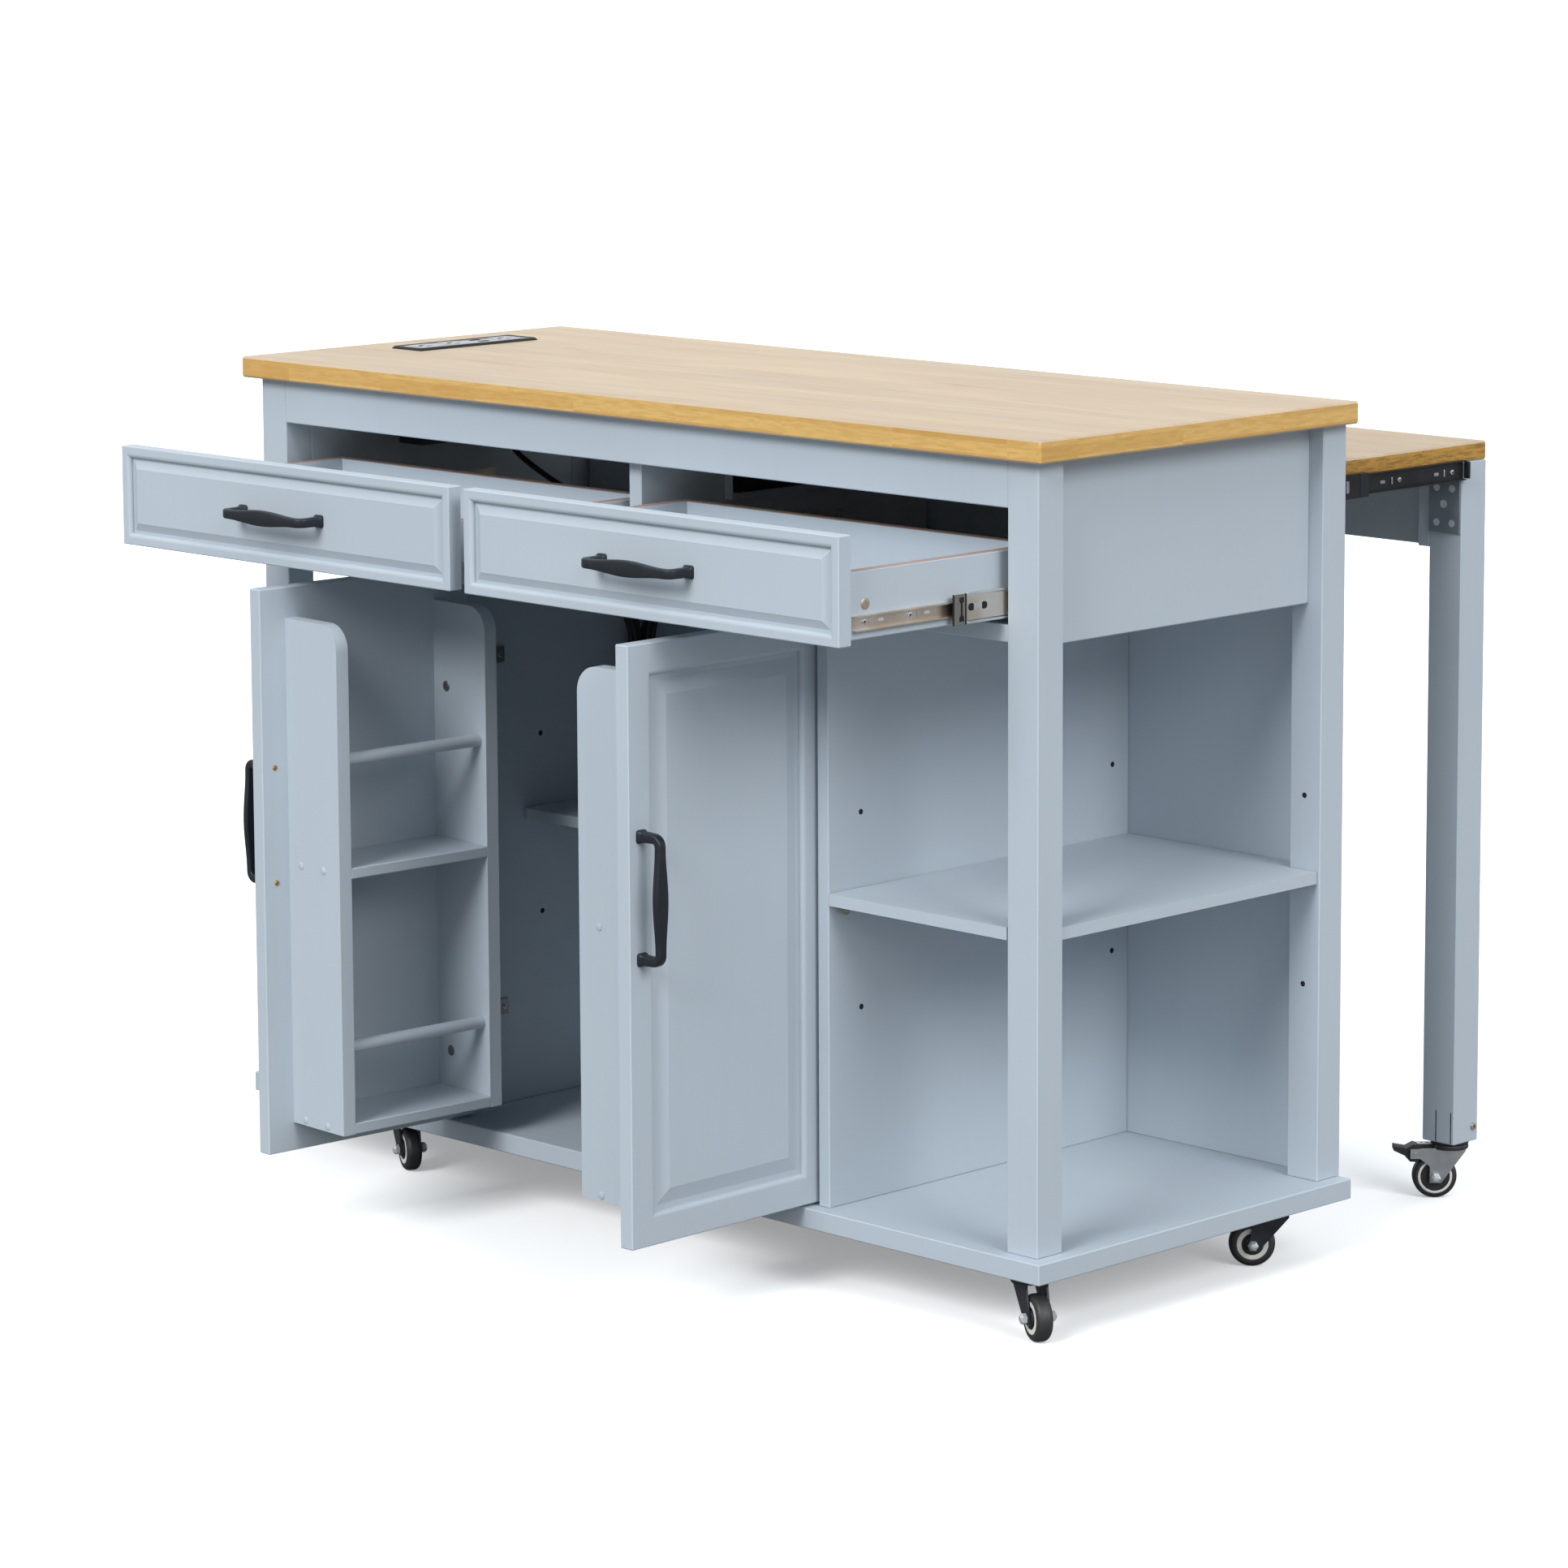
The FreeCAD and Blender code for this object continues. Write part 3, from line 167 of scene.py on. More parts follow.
# %% Suns
SUNS = {"front_window": ((-0.10, 0.78, -0.56), 2.16, 26),
        "end_window": ((-0.82, 0.12, -0.52), 1.46, 28)}
for name, (towards, strength, width) in SUNS.items():
    data = bpy.data.lights.new(name, "SUN")
    data.energy, data.angle = strength, math.radians(width)
    sun = add(name, data)
    sun.rotation_mode = "QUATERNION"
    sun.rotation_quaternion = Vector(towards).to_track_quat("-Z", "Y")
print("suns", len(SUNS))

# %% Sky
SKY_SIDES, SKY_ABOVE = 0.30, 0.75
SHADE_TINT, WHITE = (0.96, 1.04, 1.11, 1), (1, 1, 1, 1)
world = bpy.data.worlds.new("white_room")
scene.world = world
world.use_nodes = True
tree = Tree(world.node_tree)
seen = tree.node("ShaderNodeLightPath").outputs
height = tree.node("ShaderNodeSeparateXYZ",
                   Vector=tree.node("ShaderNodeTexCoord").outputs["Generated"])
fade = tree.node("ShaderNodeMapRange", Value=height.outputs["Z"], To_Min=SKY_SIDES,
                 To_Max=SKY_ABOVE)
straight = tree.sum("MAXIMUM", tree.sum("MAXIMUM", seen["Is Camera Ray"], seen["Is Glossy Ray"]),
                    seen["Is Transmission Ray"])
level = tree.node("ShaderNodeMix", Factor=straight, A=fade.outputs["Result"], B=1.0)
background = world.node_tree.nodes["Background"].inputs
tree.feed(background["Color"], tree.blend(straight, SHADE_TINT, WHITE))
tree.feed(background["Strength"], level.outputs["Result"])
print("sky nodes", len(world.node_tree.nodes))

# %% Floor
FLOOR_REACH, FLOOR_BOUNCE, FLOOR_GLOW = 150, (0.27, 0.27, 0.27, 1), 0.30
floor_mesh = bpy.data.meshes.new("studio_floor")
floor_mesh.from_pydata([(x * FLOOR_REACH, y * FLOOR_REACH, 0)
                        for x, y in ((-1, -1), (1, -1), (1, 1), (-1, 1))], [], [(0, 1, 2, 3)])
floor = add("studio_floor", floor_mesh)
floor_paint = bpy.data.materials.new("studio_floor")
floor_paint.use_nodes = True
floor_mesh.materials.append(floor_paint)
tree = Tree(floor_paint.node_tree)
inputs = floor_paint.node_tree.nodes["Principled BSDF"].inputs
camera_ray = tree.node("ShaderNodeLightPath").outputs["Is Camera Ray"]
tree.feed(inputs["Roughness"], 0.9)
tree.feed(inputs["Specular IOR Level"], 0.0)
tree.feed(inputs["Base Color"], tree.blend(camera_ray, FLOOR_BOUNCE, WHITE))
tree.feed(inputs["Emission Color"], WHITE)
tree.feed(inputs["Emission Strength"], tree.sum("MULTIPLY", camera_ray, FLOOR_GLOW))
print("floor", FLOOR_REACH * 2, "m wide")

# %% [markdown]
# ## Patterns that several finishes share
# Paint, wood and metal each have a pattern that more than one piece uses. Each pattern is a node group:
# it is made once, takes the sizes it needs by name, and hands back colours and heights. The shader
# itself stays in each material, so that every finish keeps its own gloss.

# %% Tools for patterns and materials
SOCKETS = {"colour": "NodeSocketColor", "number": "NodeSocketFloat", "place": "NodeSocketVector"}
GIVES = {"Colour": "colour", "Roughness": "number", "Height": "number"}


def new_pattern(name, takes):
    """A shader node group. What it takes is the kind of value, or the number it starts from."""
    group = bpy.data.node_groups.new(name, "ShaderNodeTree")
    for word, start in takes.items():
        socket = group.interface.new_socket(word, in_out="INPUT",
                                            socket_type=SOCKETS.get(start, SOCKETS["number"]))
        if start not in SOCKETS:
            socket.default_value = start
    for word, kind in GIVES.items():
        group.interface.new_socket(word, in_out="OUTPUT", socket_type=SOCKETS[kind])
    tree = Tree(group)
    return group, tree, tree.node("NodeGroupInput").outputs, tree.node("NodeGroupOutput").inputs


def finish_of(name, pattern, shader_values, bump, **values):
    """A material: one pattern in object coordinates behind one Principled shader."""
    material = bpy.data.materials.new(name)
    material.use_nodes = True
    tree = Tree(material.node_tree)
    inputs = material.node_tree.nodes["Principled BSDF"].inputs
    where = tree.node("ShaderNodeTexCoord").outputs
    group = tree.node("ShaderNodeGroup", {"node_tree": pattern})
    tree.feed(group.inputs["Place"], where["Object"])
    if "Facing" in group.inputs:
        tree.feed(group.inputs["Facing"], where["Normal"])
    for word, value in values.items():
        group.inputs[word.replace("_", " ")].default_value = value
    tree.feed(inputs["Base Color"], group.outputs["Colour"])
    tree.feed(inputs["Roughness"], group.outputs["Roughness"])
    relief = tree.node("ShaderNodeBump", Strength=bump, Distance=0.001,
                       Height=group.outputs["Height"])
    tree.feed(inputs["Normal"], relief.outputs["Normal"])
    for word, value in shader_values.items():
        inputs[word].default_value = value
    return material


# %% [markdown]
# ## Sprayed paint
# The boards are sprayed with a satin blue-grey paint. Close up such paint has a very fine pebbled skin,
# the grain of the board shows through as faint long waves, and the tone drifts a little from board to
# board. A plain colour would look like plastic film. The upper edges of the drawer boxes are bare
# wood, so the pattern can also colour what lies above a given height.

# %% Pattern for sprayed paint
DRIFT_COLOUR, GRAIN_COLOUR = (0.30, 0.35, 0.40, 1), (0.22, 0.25, 0.28, 1)
BARE_FADE = 0.6 * MM
sprayed, tree, take, give = new_pattern("sprayed_paint", {
    "Place": "place", "Colour": "colour", "Skin size": 1400.0, "Grain across": 170.0,
    "Roughness": 0.45, "Bare above": 9.0, "Bare colour": "colour"})
skin = tree.noise(take["Place"], take["Skin size"], 2.0)
drift = tree.noise(take["Place"], 2.3, 3.0)
upright = tree.stretched(take["Place"], (1.0, 1.0, 0.05))
grain = tree.noise(upright, take["Grain across"], 4.0)
darker = tree.blend(tree.ramp(drift, 0.35, 0.65, 0.0, 0.10), take["Colour"], DRIFT_COLOUR)
grained = tree.blend(tree.ramp(grain, 0.45, 0.70, 0.0, 0.018), darker, GRAIN_COLOUR)
apart = tree.node("ShaderNodeSeparateXYZ", Vector=take["Place"])
bare_wobble = tree.sum("MULTIPLY_ADD", drift, BARE_FADE, apart.outputs["Z"])
bare = tree.ramp(tree.sum("SUBTRACT", bare_wobble, take["Bare above"]), 0.0, BARE_FADE)
tree.feed(give["Colour"], tree.blend(bare, grained, take["Bare colour"]))
tree.feed(give["Roughness"], tree.sum("MULTIPLY_ADD", skin, 0.12, take["Roughness"]))
tree.feed(give["Height"], tree.sum("MULTIPLY_ADD", grain, 0.35, tree.sum("MULTIPLY", skin, 0.5)))
print("paint nodes", len(sprayed.nodes))

# %% [markdown]
# ## Oiled oak
# The worktop's upper face is a calm veneer with fine straight grain along its length. Its edges are
# solid strips made of short lengths that are finger-jointed end to end, so their tone jumps every hand's
# breadth, and they are much yellower, with dark flecks. The pattern looks at which way the face points
# and mixes the two. The tone of each short length comes from a White Noise node fed with the number of
# the length.

# %% Pattern for oiled oak: the way of the face, and the veneer
PORE_COLOUR, CLOUD_COLOUR, STAVE_COLOUR = srgb("B58A58"), srgb("EBD3AE"), srgb("C99F6B")
STAVES_ACROSS, STAVES_ALONG, LAYERS_UP, START_OF_STRIPS = 11.0, 0.8, 83.0, 3.1
oiled, tree, take, give = new_pattern("oiled_oak", {
    "Place": "place", "Facing": "place", "Face colour": "colour", "Edge colour": "colour",
    "Edge dark colour": "colour", "Length of strip": 0.16, "Strip jump": 0.6, "Fleck": 0.4,
    "Roughness": 0.42})
facing = tree.node("ShaderNodeSeparateXYZ", Vector=take["Facing"]).outputs
upward = tree.ramp(tree.sum("ABSOLUTE", facing["Z"]), 0.35, 0.65)
end_face = tree.ramp(tree.sum("ABSOLUTE", facing["X"]), 0.35, 0.65)
place = tree.node("ShaderNodeSeparateXYZ", Vector=take["Place"]).outputs
veneer = tree.noise(tree.stretched(take["Place"], (0.045, 1.0, 1.0)), 150.0, 8.0,
                    Roughness=0.65, Distortion=0.4)
cathedral = tree.noise(tree.stretched(take["Place"], (0.10, 1.0, 1.0)), 9.0, 5.0,
                       Roughness=0.7, Distortion=1.6)
pores = tree.ramp(veneer, 0.52, 0.72)
clouds = tree.ramp(cathedral, 0.35, 0.68)
stave_tone = tree.chance(tree.sum("FLOOR", tree.sum("MULTIPLY", place["Y"], STAVES_ACROSS)),
                         tree.sum("FLOOR", tree.sum("MULTIPLY", place["X"], STAVES_ALONG)))
face = tree.blend(tree.sum("MULTIPLY", pores, 0.30), take["Face colour"], PORE_COLOUR)
face = tree.blend(tree.sum("MULTIPLY", clouds, 0.30), face, CLOUD_COLOUR)
face = tree.blend(tree.sum("MULTIPLY", stave_tone, 0.12), face, STAVE_COLOUR)
print("veneer nodes", len(oiled.nodes))

# %% Pattern for oiled oak: the strips of the edge
along = tree.sum("ADD", tree.sum("MULTIPLY", place["Y"], end_face),
                 tree.sum("MULTIPLY", place["X"], tree.sum("SUBTRACT", 1.0, end_face)))
strip_number = tree.sum("FLOOR", tree.sum("DIVIDE", tree.sum("ADD", along, START_OF_STRIPS),
                                          take["Length of strip"]))
layer_number = tree.sum("FLOOR", tree.sum("MULTIPLY", place["Z"], LAYERS_UP))
edge_space = tree.node("ShaderNodeCombineXYZ", X=tree.sum("MULTIPLY", along, 0.14), Y=place["Z"],
                       Z=tree.sum("MULTIPLY", strip_number, 0.37))
edge_grain = tree.noise(edge_space.outputs[0], 270.0, 6.0, Roughness=0.7)
strip_share = tree.sum("MULTIPLY", tree.chance(strip_number, layer_number), take["Strip jump"])
edge = tree.blend(strip_share, take["Edge colour"], take["Edge dark colour"])
flecks = tree.ramp(edge_grain, 0.42, 0.60, 0.0, take["Fleck"])
edge = tree.blend(flecks, edge, take["Edge dark colour"])
tree.feed(give["Colour"], tree.blend(upward, edge, face))
tree.feed(give["Roughness"], tree.sum("MULTIPLY_ADD", pores, 0.18, take["Roughness"]))
tree.feed(give["Height"], tree.sum("MULTIPLY", pores, -0.5))
print("oak nodes", len(oiled.nodes))

# %% [markdown]
# ## Steel, and cast or moulded parts
# Rolled steel strip keeps fine lines along its length under the plating, and the plating itself turns
# slightly cloudy. The same pattern serves the zinc slides, the black slides and the caster forks. Cast
# and moulded parts have a fine pebbled skin instead, and patches that hands and use have rubbed.

# %% Pattern for rolled steel
rolled, tree, take, give = new_pattern("rolled_steel", {
    "Place": "place", "Colour": "colour", "Cloud colour": "colour", "Line size": 900.0,
    "Roughness": 0.35})
lengthways = tree.stretched(take["Place"], (1.0, 0.03, 1.0))
lines = tree.noise(lengthways, take["Line size"], 3.0)
cloudy = tree.ramp(tree.noise(take["Place"], 26.0, 4.0), 0.35, 0.7, 0.0, 0.8)
tree.feed(give["Colour"], tree.blend(cloudy, take["Colour"], take["Cloud colour"]))
tree.feed(give["Roughness"], tree.sum("MULTIPLY_ADD", lines, 0.20, take["Roughness"]))
tree.feed(give["Height"], tree.sum("MULTIPLY", lines, 0.4))
print("steel nodes", len(rolled.nodes))

# %% Pattern for cast and moulded parts
moulded, tree, take, give = new_pattern("moulded_black", {
    "Place": "place", "Colour": "colour", "Rub colour": "colour", "Texture size": 1600.0,
    "Roughness": 0.45, "Rub": 0.5})
pebble = tree.noise(take["Place"], take["Texture size"], 2.0)
patches = tree.noise(take["Place"], 70.0, 5.0, Roughness=0.7)
rubbed = tree.sum("MULTIPLY", tree.ramp(patches, 0.50, 0.75), take["Rub"])
tree.feed(give["Colour"], tree.blend(rubbed, take["Colour"], take["Rub colour"]))
tree.feed(give["Roughness"], tree.sum("MULTIPLY_ADD", pebble, 0.18, take["Roughness"]))
tree.feed(give["Height"], tree.sum("MULTIPLY", pebble, 0.6))
print("patterns", [group.name for group in bpy.data.node_groups])

# %% [markdown]
# ## One finish for each material slot
# The record says which slot each solid has. Here every slot gets its finish: satin paint on boards,
# oiled oak on the worktop and the leaf, yellowish zinc on the drawer slides, black on the leaf slides,
# and moulded or cast blacks on the rest. The drawer boxes have bare upper edges, so their paint changes
# to a warm wood colour above the height of that edge.

# %% Finishes by kind
BLUE_GREY = srgb("B8C2CB")
DRAWER_EDGE = 0.8160


def painted(name, **bare):
    """Satin paint, perhaps with bare wood above a height."""
    return finish_of(name, sprayed, {"Specular IOR Level": 0.45}, 0.12, Colour=BLUE_GREY, **bare)


def oak(name, face, edge, edge_dark, **strips):
    """Oiled oak: the colour of its upper face and the two colours of its edge strips."""
    return finish_of(name, oiled, {"Specular IOR Level": 0.4}, 0.25, Face_colour=srgb(face),
                     Edge_colour=srgb(edge), Edge_dark_colour=srgb(edge_dark), **strips)


def steel(name, colour, cloud, metallic, roughness=0.35):
    """Rolled steel: its colour, the tone of its cloudy patches and its sheen."""
    return finish_of(name, rolled, {"Metallic": metallic}, 0.1, Colour=srgb(colour),
                     Cloud_colour=srgb(cloud), Roughness=roughness)


def moulding(name, colour, rub, roughness=0.45, bump=0.2, shader_values=(), **values):
    """A cast or moulded part: its colour, the tone of its rubbed patches and its sheen."""
    return finish_of(name, moulded, dict(shader_values), bump, Colour=srgb(colour),
                     Rub_colour=srgb(rub), Roughness=roughness, **values)


# %% Finishes
FINISH = {
    "paint": painted("satin_paint"),
    "drawer_wood": painted("drawer_paint", Bare_above=DRAWER_EDGE, Bare_colour=srgb("A58F86")),
    "worktop_wood": oak("oiled_worktop", "BAA78F", "DDB56E", "BE8C46"),
    "leaf_wood": oak("oiled_leaf", "AC9A82", "C09445", "76501D", Length_of_strip=0.11,
                     Strip_jump=0.2, Fleck=0.65),
    "handle_bronze": moulding("blackened_bronze", "272C33", "4A3F3A", 0.32, 0.15,
                              {"Metallic": 0.55}, Rub=0.25),
    "slide_zinc": steel("yellow_zinc", "C3B7A8", "D9D2CA", 0.95, 0.24),
    "slide_black": steel("black_slide_steel", "1A1C1F", "2B2D31", 0.5),
    "hinge_nickel": steel("dull_nickel", "8E8C87", "AAA8A3", 1.0, 0.3),
    "pin_steel": steel("bright_steel", "C9CACB", "E0E0E0", 1.0, 0.2),
    "bracket_black": steel("bracket_enamel", "7A828A", "8A929A", 0.4, 0.42),
    "unit_plastic": moulding("unit_gloss", "14161A", "23272D", 0.38, 0.05,
                             {"Specular IOR Level": 0.3}),
    "unit_body": moulding("unit_housing", "191B1E", "24262A"),
    "cord_jacket": moulding("cord_rubber", "17181B", "232529", 0.5),
    "tie_strap": moulding("tie_weave", "1D1D1F", "303033", 0.8, 0.6, Texture_size=500.0),
    "plug_plastic": moulding("plug_rubber", "1A1B1D", "27292C"),
    "caster_plate_black": steel("caster_plate_steel", "2A2C30", "3A3D42", 0.6),
    "caster_fork_black": steel("caster_fork_steel", "2B2E33", "3C4046", 0.6, 0.28),
    "caster_wheel": moulding("tread_rubber", "2A2A2C", "3A3937", 0.42),
    "caster_zinc": steel("grey_zinc", "A0A4A8", "BFC3C7", 0.95, 0.26),
    "pedal_black": moulding("pedal_rubber", "1B1C1E", "2A2B2E", 0.45, 0.3),
}
print("finishes", len(FINISH))

# %% Finishes of small fittings, and the solids dressed
WHEEL_RING = moulding("wheel_ring", "E8E5DD", "D2CEC4", 0.45, 0.1, Rub=0.3)
BRIGHT_ZINC = steel("bright_zinc", "CDD3D9", "E6EAED", 0.6, 0.28)
DARK_HOLE = moulding("hole_shadow", "0C0D0F", "141518", 0.8, 0.1)
BRASS = steel("brass_head", "B08D4A", "C9AA68", 0.9, 0.25)
BRONZE = steel("bronze_head", "A5978B", "C6BAB0", 0.8, 0.3)
# Painted reflection: this blue-grey stands in for the bright room mirrored in the unit's glossy black
# face.
SHEET_REFLECTION_PAINT = moulding("painted_reflection_sheet", "3D4B5C", "4A5869", 0.08, 0.03,
                    {"Coat Weight": 0.3, "Metallic": 0.3}, Rub=0.3)
for part in frame["record"]["subparts"]:
    dressed = NODES[part["node"]].data
    dressed.materials.clear()
    dressed.materials.append(FINISH[part["material_slot"]])
print("finishes", len(FINISH), "on", len(NODES), "solids")

# %% [markdown]
# ## Tools for new pieces
# Small parts are built from rings of points: a lathe turns a profile, and a loft joins a row of rings
# that change in size. Both give a closed mesh with outward faces. A piece then gets its finish and rides
# the body that carries it.

# %% Lathe and loft
def basis(ahead, up=(0, 0, 1)):
    """A turn whose X axis is the given direction and whose Z axis is as near up as it can be."""
    x = Vector(ahead).normalized()
    up = Vector(up) if abs(x.dot(Vector(up))) < 0.99 else Vector((0, 1, 0))
    y = up.cross(x).normalized()
    return Matrix((x, y, x.cross(y))).transposed()


def lathe(profile, centre, axis, steps, closed=False):
    """Points and faces of a profile, given as (along, radius), turned about an axis."""
    turn, centre, rows = basis(axis), Vector(centre), len(profile)
    angles = [math.tau * step / steps for step in range(steps)]
    points = [centre + turn @ Vector((along, radius * math.cos(angle), radius * math.sin(angle)))
              for along, radius in profile for angle in angles]
    faces = []
    for row in range(rows if closed else rows - 1):
        first, second = row * steps, (row + 1) % rows * steps
        faces += [(first + step, first + (step + 1) % steps, second + (step + 1) % steps,
                   second + step) for step in range(steps)]
    return points, faces


def loft(rings):
    """Points and faces of a row of rings with one number of points, closed by its two ends."""
    count = len(rings[0])
    faces = [(start + i, start + (i + 1) % count, start + count + (i + 1) % count,
              start + count + i)
             for start in range(0, (len(rings) - 1) * count, count) for i in range(count)]
    last = (len(rings) - 1) * count
    points = [point for ring in rings for point in ring]
    return points, faces + [tuple(range(count)), tuple(range(last, last + count))]


def oblong(wide, high, corner, steps=4):
    """A rounded oblong round nought, as (across, up) places."""
    corners = ((1, 1), (-1, 1), (-1, -1), (1, -1))
    return [(x * (wide / 2 - corner) + corner * math.cos(math.pi / 2 * (quarter + i / steps)),
             y * (high / 2 - corner) + corner * math.sin(math.pi / 2 * (quarter + i / steps)))
            for quarter, (x, y) in enumerate(corners) for i in range(steps + 1)]


# %% Closed meshes and riding pieces
def closed_mesh(name, points, faces):
    """A mesh with doubled points merged and every face outwards."""
    mesh = bpy.data.meshes.new(name)
    mesh.from_pydata(points, [], faces)
    build = bmesh.new()
    build.from_mesh(mesh)
    bmesh.ops.remove_doubles(build, verts=build.verts, dist=1e-6)
    bmesh.ops.recalc_face_normals(build, faces=build.faces)
    build.to_mesh(mesh)
    build.free()
    return mesh


def riding(name, mesh, body, sharp):
    """The mesh as a smooth object with sharp edges that rides its body."""
    mesh.shade_smooth()
    mesh.set_sharp_from_angle(angle=math.radians(sharp))
    made = add(name, mesh)
    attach(made, body)
    return made


def piece(name, shape, finishes, body):
    """One riding object from points and faces, with its finishes."""
    mesh = closed_mesh(name, *shape)
    for finish in finishes:
        mesh.materials.append(finish)
    return riding(name, mesh, body, 30)


# %% [markdown]
# ## Bow handles
# Each handle is a cast bow: a flared pad on the board, a foot that rises and bends with a round corner,
# and a bar that swells in height towards its middle. A loft of rounded oblongs along that line gives
# the soft, slightly squashed section that the light shows as one long highlight.

# %% The line of a bow
HANDLE_HALF, HANDLE_RISE, HANDLE_BEND = 64 * MM, 28 * MM, 8 * MM
PAD_THICK, PAD_SIDE = 3 * MM, 14 * MM
FOOT_SIDE, BAR_THICK, END_HIGH, MIDDLE_HIGH = 11 * MM, 8 * MM, 10 * MM, 17 * MM
BEND_STEPS, BAR_STEPS, CORNER_SHARE = 6, 8, 0.22


def half_bow():
    """Half a handle as (place, rise, lean, thick, high) rows, from its pad to the bar's middle."""
    narrow = FOOT_SIDE * 0.9
    rows = [(-HANDLE_HALF, 0.0, 90, PAD_SIDE, PAD_SIDE),
            (-HANDLE_HALF, PAD_THICK * 0.7, 90, PAD_SIDE, PAD_SIDE),
            (-HANDLE_HALF, PAD_THICK * 1.3, 90, FOOT_SIDE * 1.1, END_HIGH * 1.1),
            (-HANDLE_HALF, PAD_THICK * 2, 90, FOOT_SIDE, END_HIGH),
            (-HANDLE_HALF, HANDLE_RISE - HANDLE_BEND, 90, narrow, END_HIGH)]
    for share in [step / BEND_STEPS for step in range(1, BEND_STEPS + 1)]:
        turn = math.radians(90 * share)
        rows.append((-HANDLE_HALF + HANDLE_BEND * (1 - math.cos(turn)),
                     HANDLE_RISE - HANDLE_BEND * (1 - math.sin(turn)), 90 - 90 * share,
                     BAR_THICK + (narrow - BAR_THICK) * (1 - share), END_HIGH))
    start = rows[-1][0]
    for share in [step / BAR_STEPS for step in range(1, BAR_STEPS + 1)]:
        swell = math.sin(math.pi / 2 * share) ** 2
        rows.append((start * (1 - share), HANDLE_RISE, 0, BAR_THICK,
                     END_HIGH + (MIDDLE_HIGH - END_HIGH) * swell))
    return rows


def bow(seat, along, out):
    """Points and faces of one handle whose middle stands on its seat."""
    seat, along, out = Vector(seat), Vector(along), Vector(out)
    up = out.cross(along)
    half = half_bow()
    other = [(-place, rise, -lean, thick, high) for place, rise, lean, thick, high in half[-2::-1]]
    rings = []
    for place, rise, lean, thick, high in half + other:
        lean = math.radians(lean)
        across = out * math.cos(lean) - along * math.sin(lean)
        middle = seat + along * place + out * rise
        rings.append([middle + across * a + up * b
                      for a, b in oblong(thick, high, min(thick, high) * CORNER_SHARE)])
    return loft(rings)


# %% Places on an open door, and the handles
OPENED, PIVOT = {"right": 90.9, "left": 93.5}, (281.5, -253)
HANDLE_ACROSS, HANDLE_SEAT, HANDLE_LEVEL = 263, 8, 460


def on_door(hand, across, out, level):
    """A place on an open door, from its own closed place counted from the pivot line."""
    side = HANDS[hand]
    arm = Vector((-side * across, -out, 0)) * MM
    turned = Matrix.Rotation(math.radians(OPENED[hand]) * side, 3, "Z") @ arm
    return turned + Vector((side * PIVOT[0], PIVOT[1], level)) * MM


def door_way(hand, across, out):
    """A direction on an open door."""
    return (on_door(hand, across, out, 0) - on_door(hand, 0, 0, 0)).normalized()


for hand in HANDS:
    low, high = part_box(f"drawer_handle_{hand}")
    seats = {"drawer": (((low.x + high.x) / 2, high.y, (low.z + high.z) / 2), (1, 0, 0),
                        (0, -1, 0)),
             "door": (on_door(hand, HANDLE_ACROSS, HANDLE_SEAT, HANDLE_LEVEL), (0, 0, 1),
                      door_way(hand, 0, 1))}
    for kind, seat in seats.items():
        cast = piece(f"{kind}_bow_{hand}", bow(*seat), [FINISH["handle_bronze"]],
                     f"{kind}_{hand}")
        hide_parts(f"{kind}_handle_{hand}")
    print(hand, "handles", len(cast.data.polygons), "faces each")

# %% [markdown]
# ## Wheels
# A caster wheel is a dark rubber tread moulded on a pale plastic ring, with a dark hub cap. The base
# casters have a wide ring, and the leaf's have a thin one round a broad hub. One profile goes round
# from the bore over the hub, the ring and the shoulder to the tread and back, and each stretch of it
# has its own finish. Every wheel is turned about its own axle.

# %% The section of a wheel
WHEEL_RADIUS, WHEEL_HALF, SHOULDER, HUB_PROUD = 25 * MM, 9 * MM, 6 * MM, 0.8 * MM
BORE, HUB = 3.1 * MM, 8.5 * MM
BASE_RING, LEAF_RING = (12 * MM, 17.2 * MM), (16.6 * MM, 19.4 * MM)
AXLES = {"front": (0.43209, 0.90183, 0), "back": (0.70957, -0.70463, 0)}
HUB_ROWS, RING_ROWS, SHOULDER_STEPS, WHEEL_STEPS = 5, 8, 6, 72


def wheel_profile(ring_in, ring_out):
    """The outline of a wheel's section, from its bore over the tread and back."""
    side = [(WHEEL_HALF + HUB_PROUD, BORE), (WHEEL_HALF + HUB_PROUD, HUB - 1 * MM),
            (WHEEL_HALF + HUB_PROUD * 0.6, HUB), (WHEEL_HALF - 1.6 * MM, HUB + 0.6 * MM),
            (WHEEL_HALF - 1.4 * MM, ring_in - 0.5 * MM), (WHEEL_HALF - 0.5 * MM, ring_in),
            (WHEEL_HALF - 0.2 * MM, ring_in + 0.6 * MM),
            (WHEEL_HALF - 0.3 * MM, ring_out - 0.6 * MM), (WHEEL_HALF - 0.7 * MM, ring_out),
            (WHEEL_HALF - 0.1 * MM, ring_out + 0.5 * MM)]
    corner = min(SHOULDER, WHEEL_RADIUS - ring_out - 0.6 * MM)
    for step in range(SHOULDER_STEPS + 1):
        turn = math.pi / 2 * step / SHOULDER_STEPS
        side.append((WHEEL_HALF - corner * (1 - math.cos(turn)),
                     WHEEL_RADIUS - corner * (1 - math.sin(turn))))
    return side + [(-along, radius) for along, radius in reversed(side)]


def finish_number(row, rows):
    """The finish of a row of faces: 1 on the hub and bore, 2 on the ring, 0 on the tread."""
    from_side = min(row, rows - 2 - row)
    return 1 if from_side < HUB_ROWS else 2 if from_side < RING_ROWS else 0


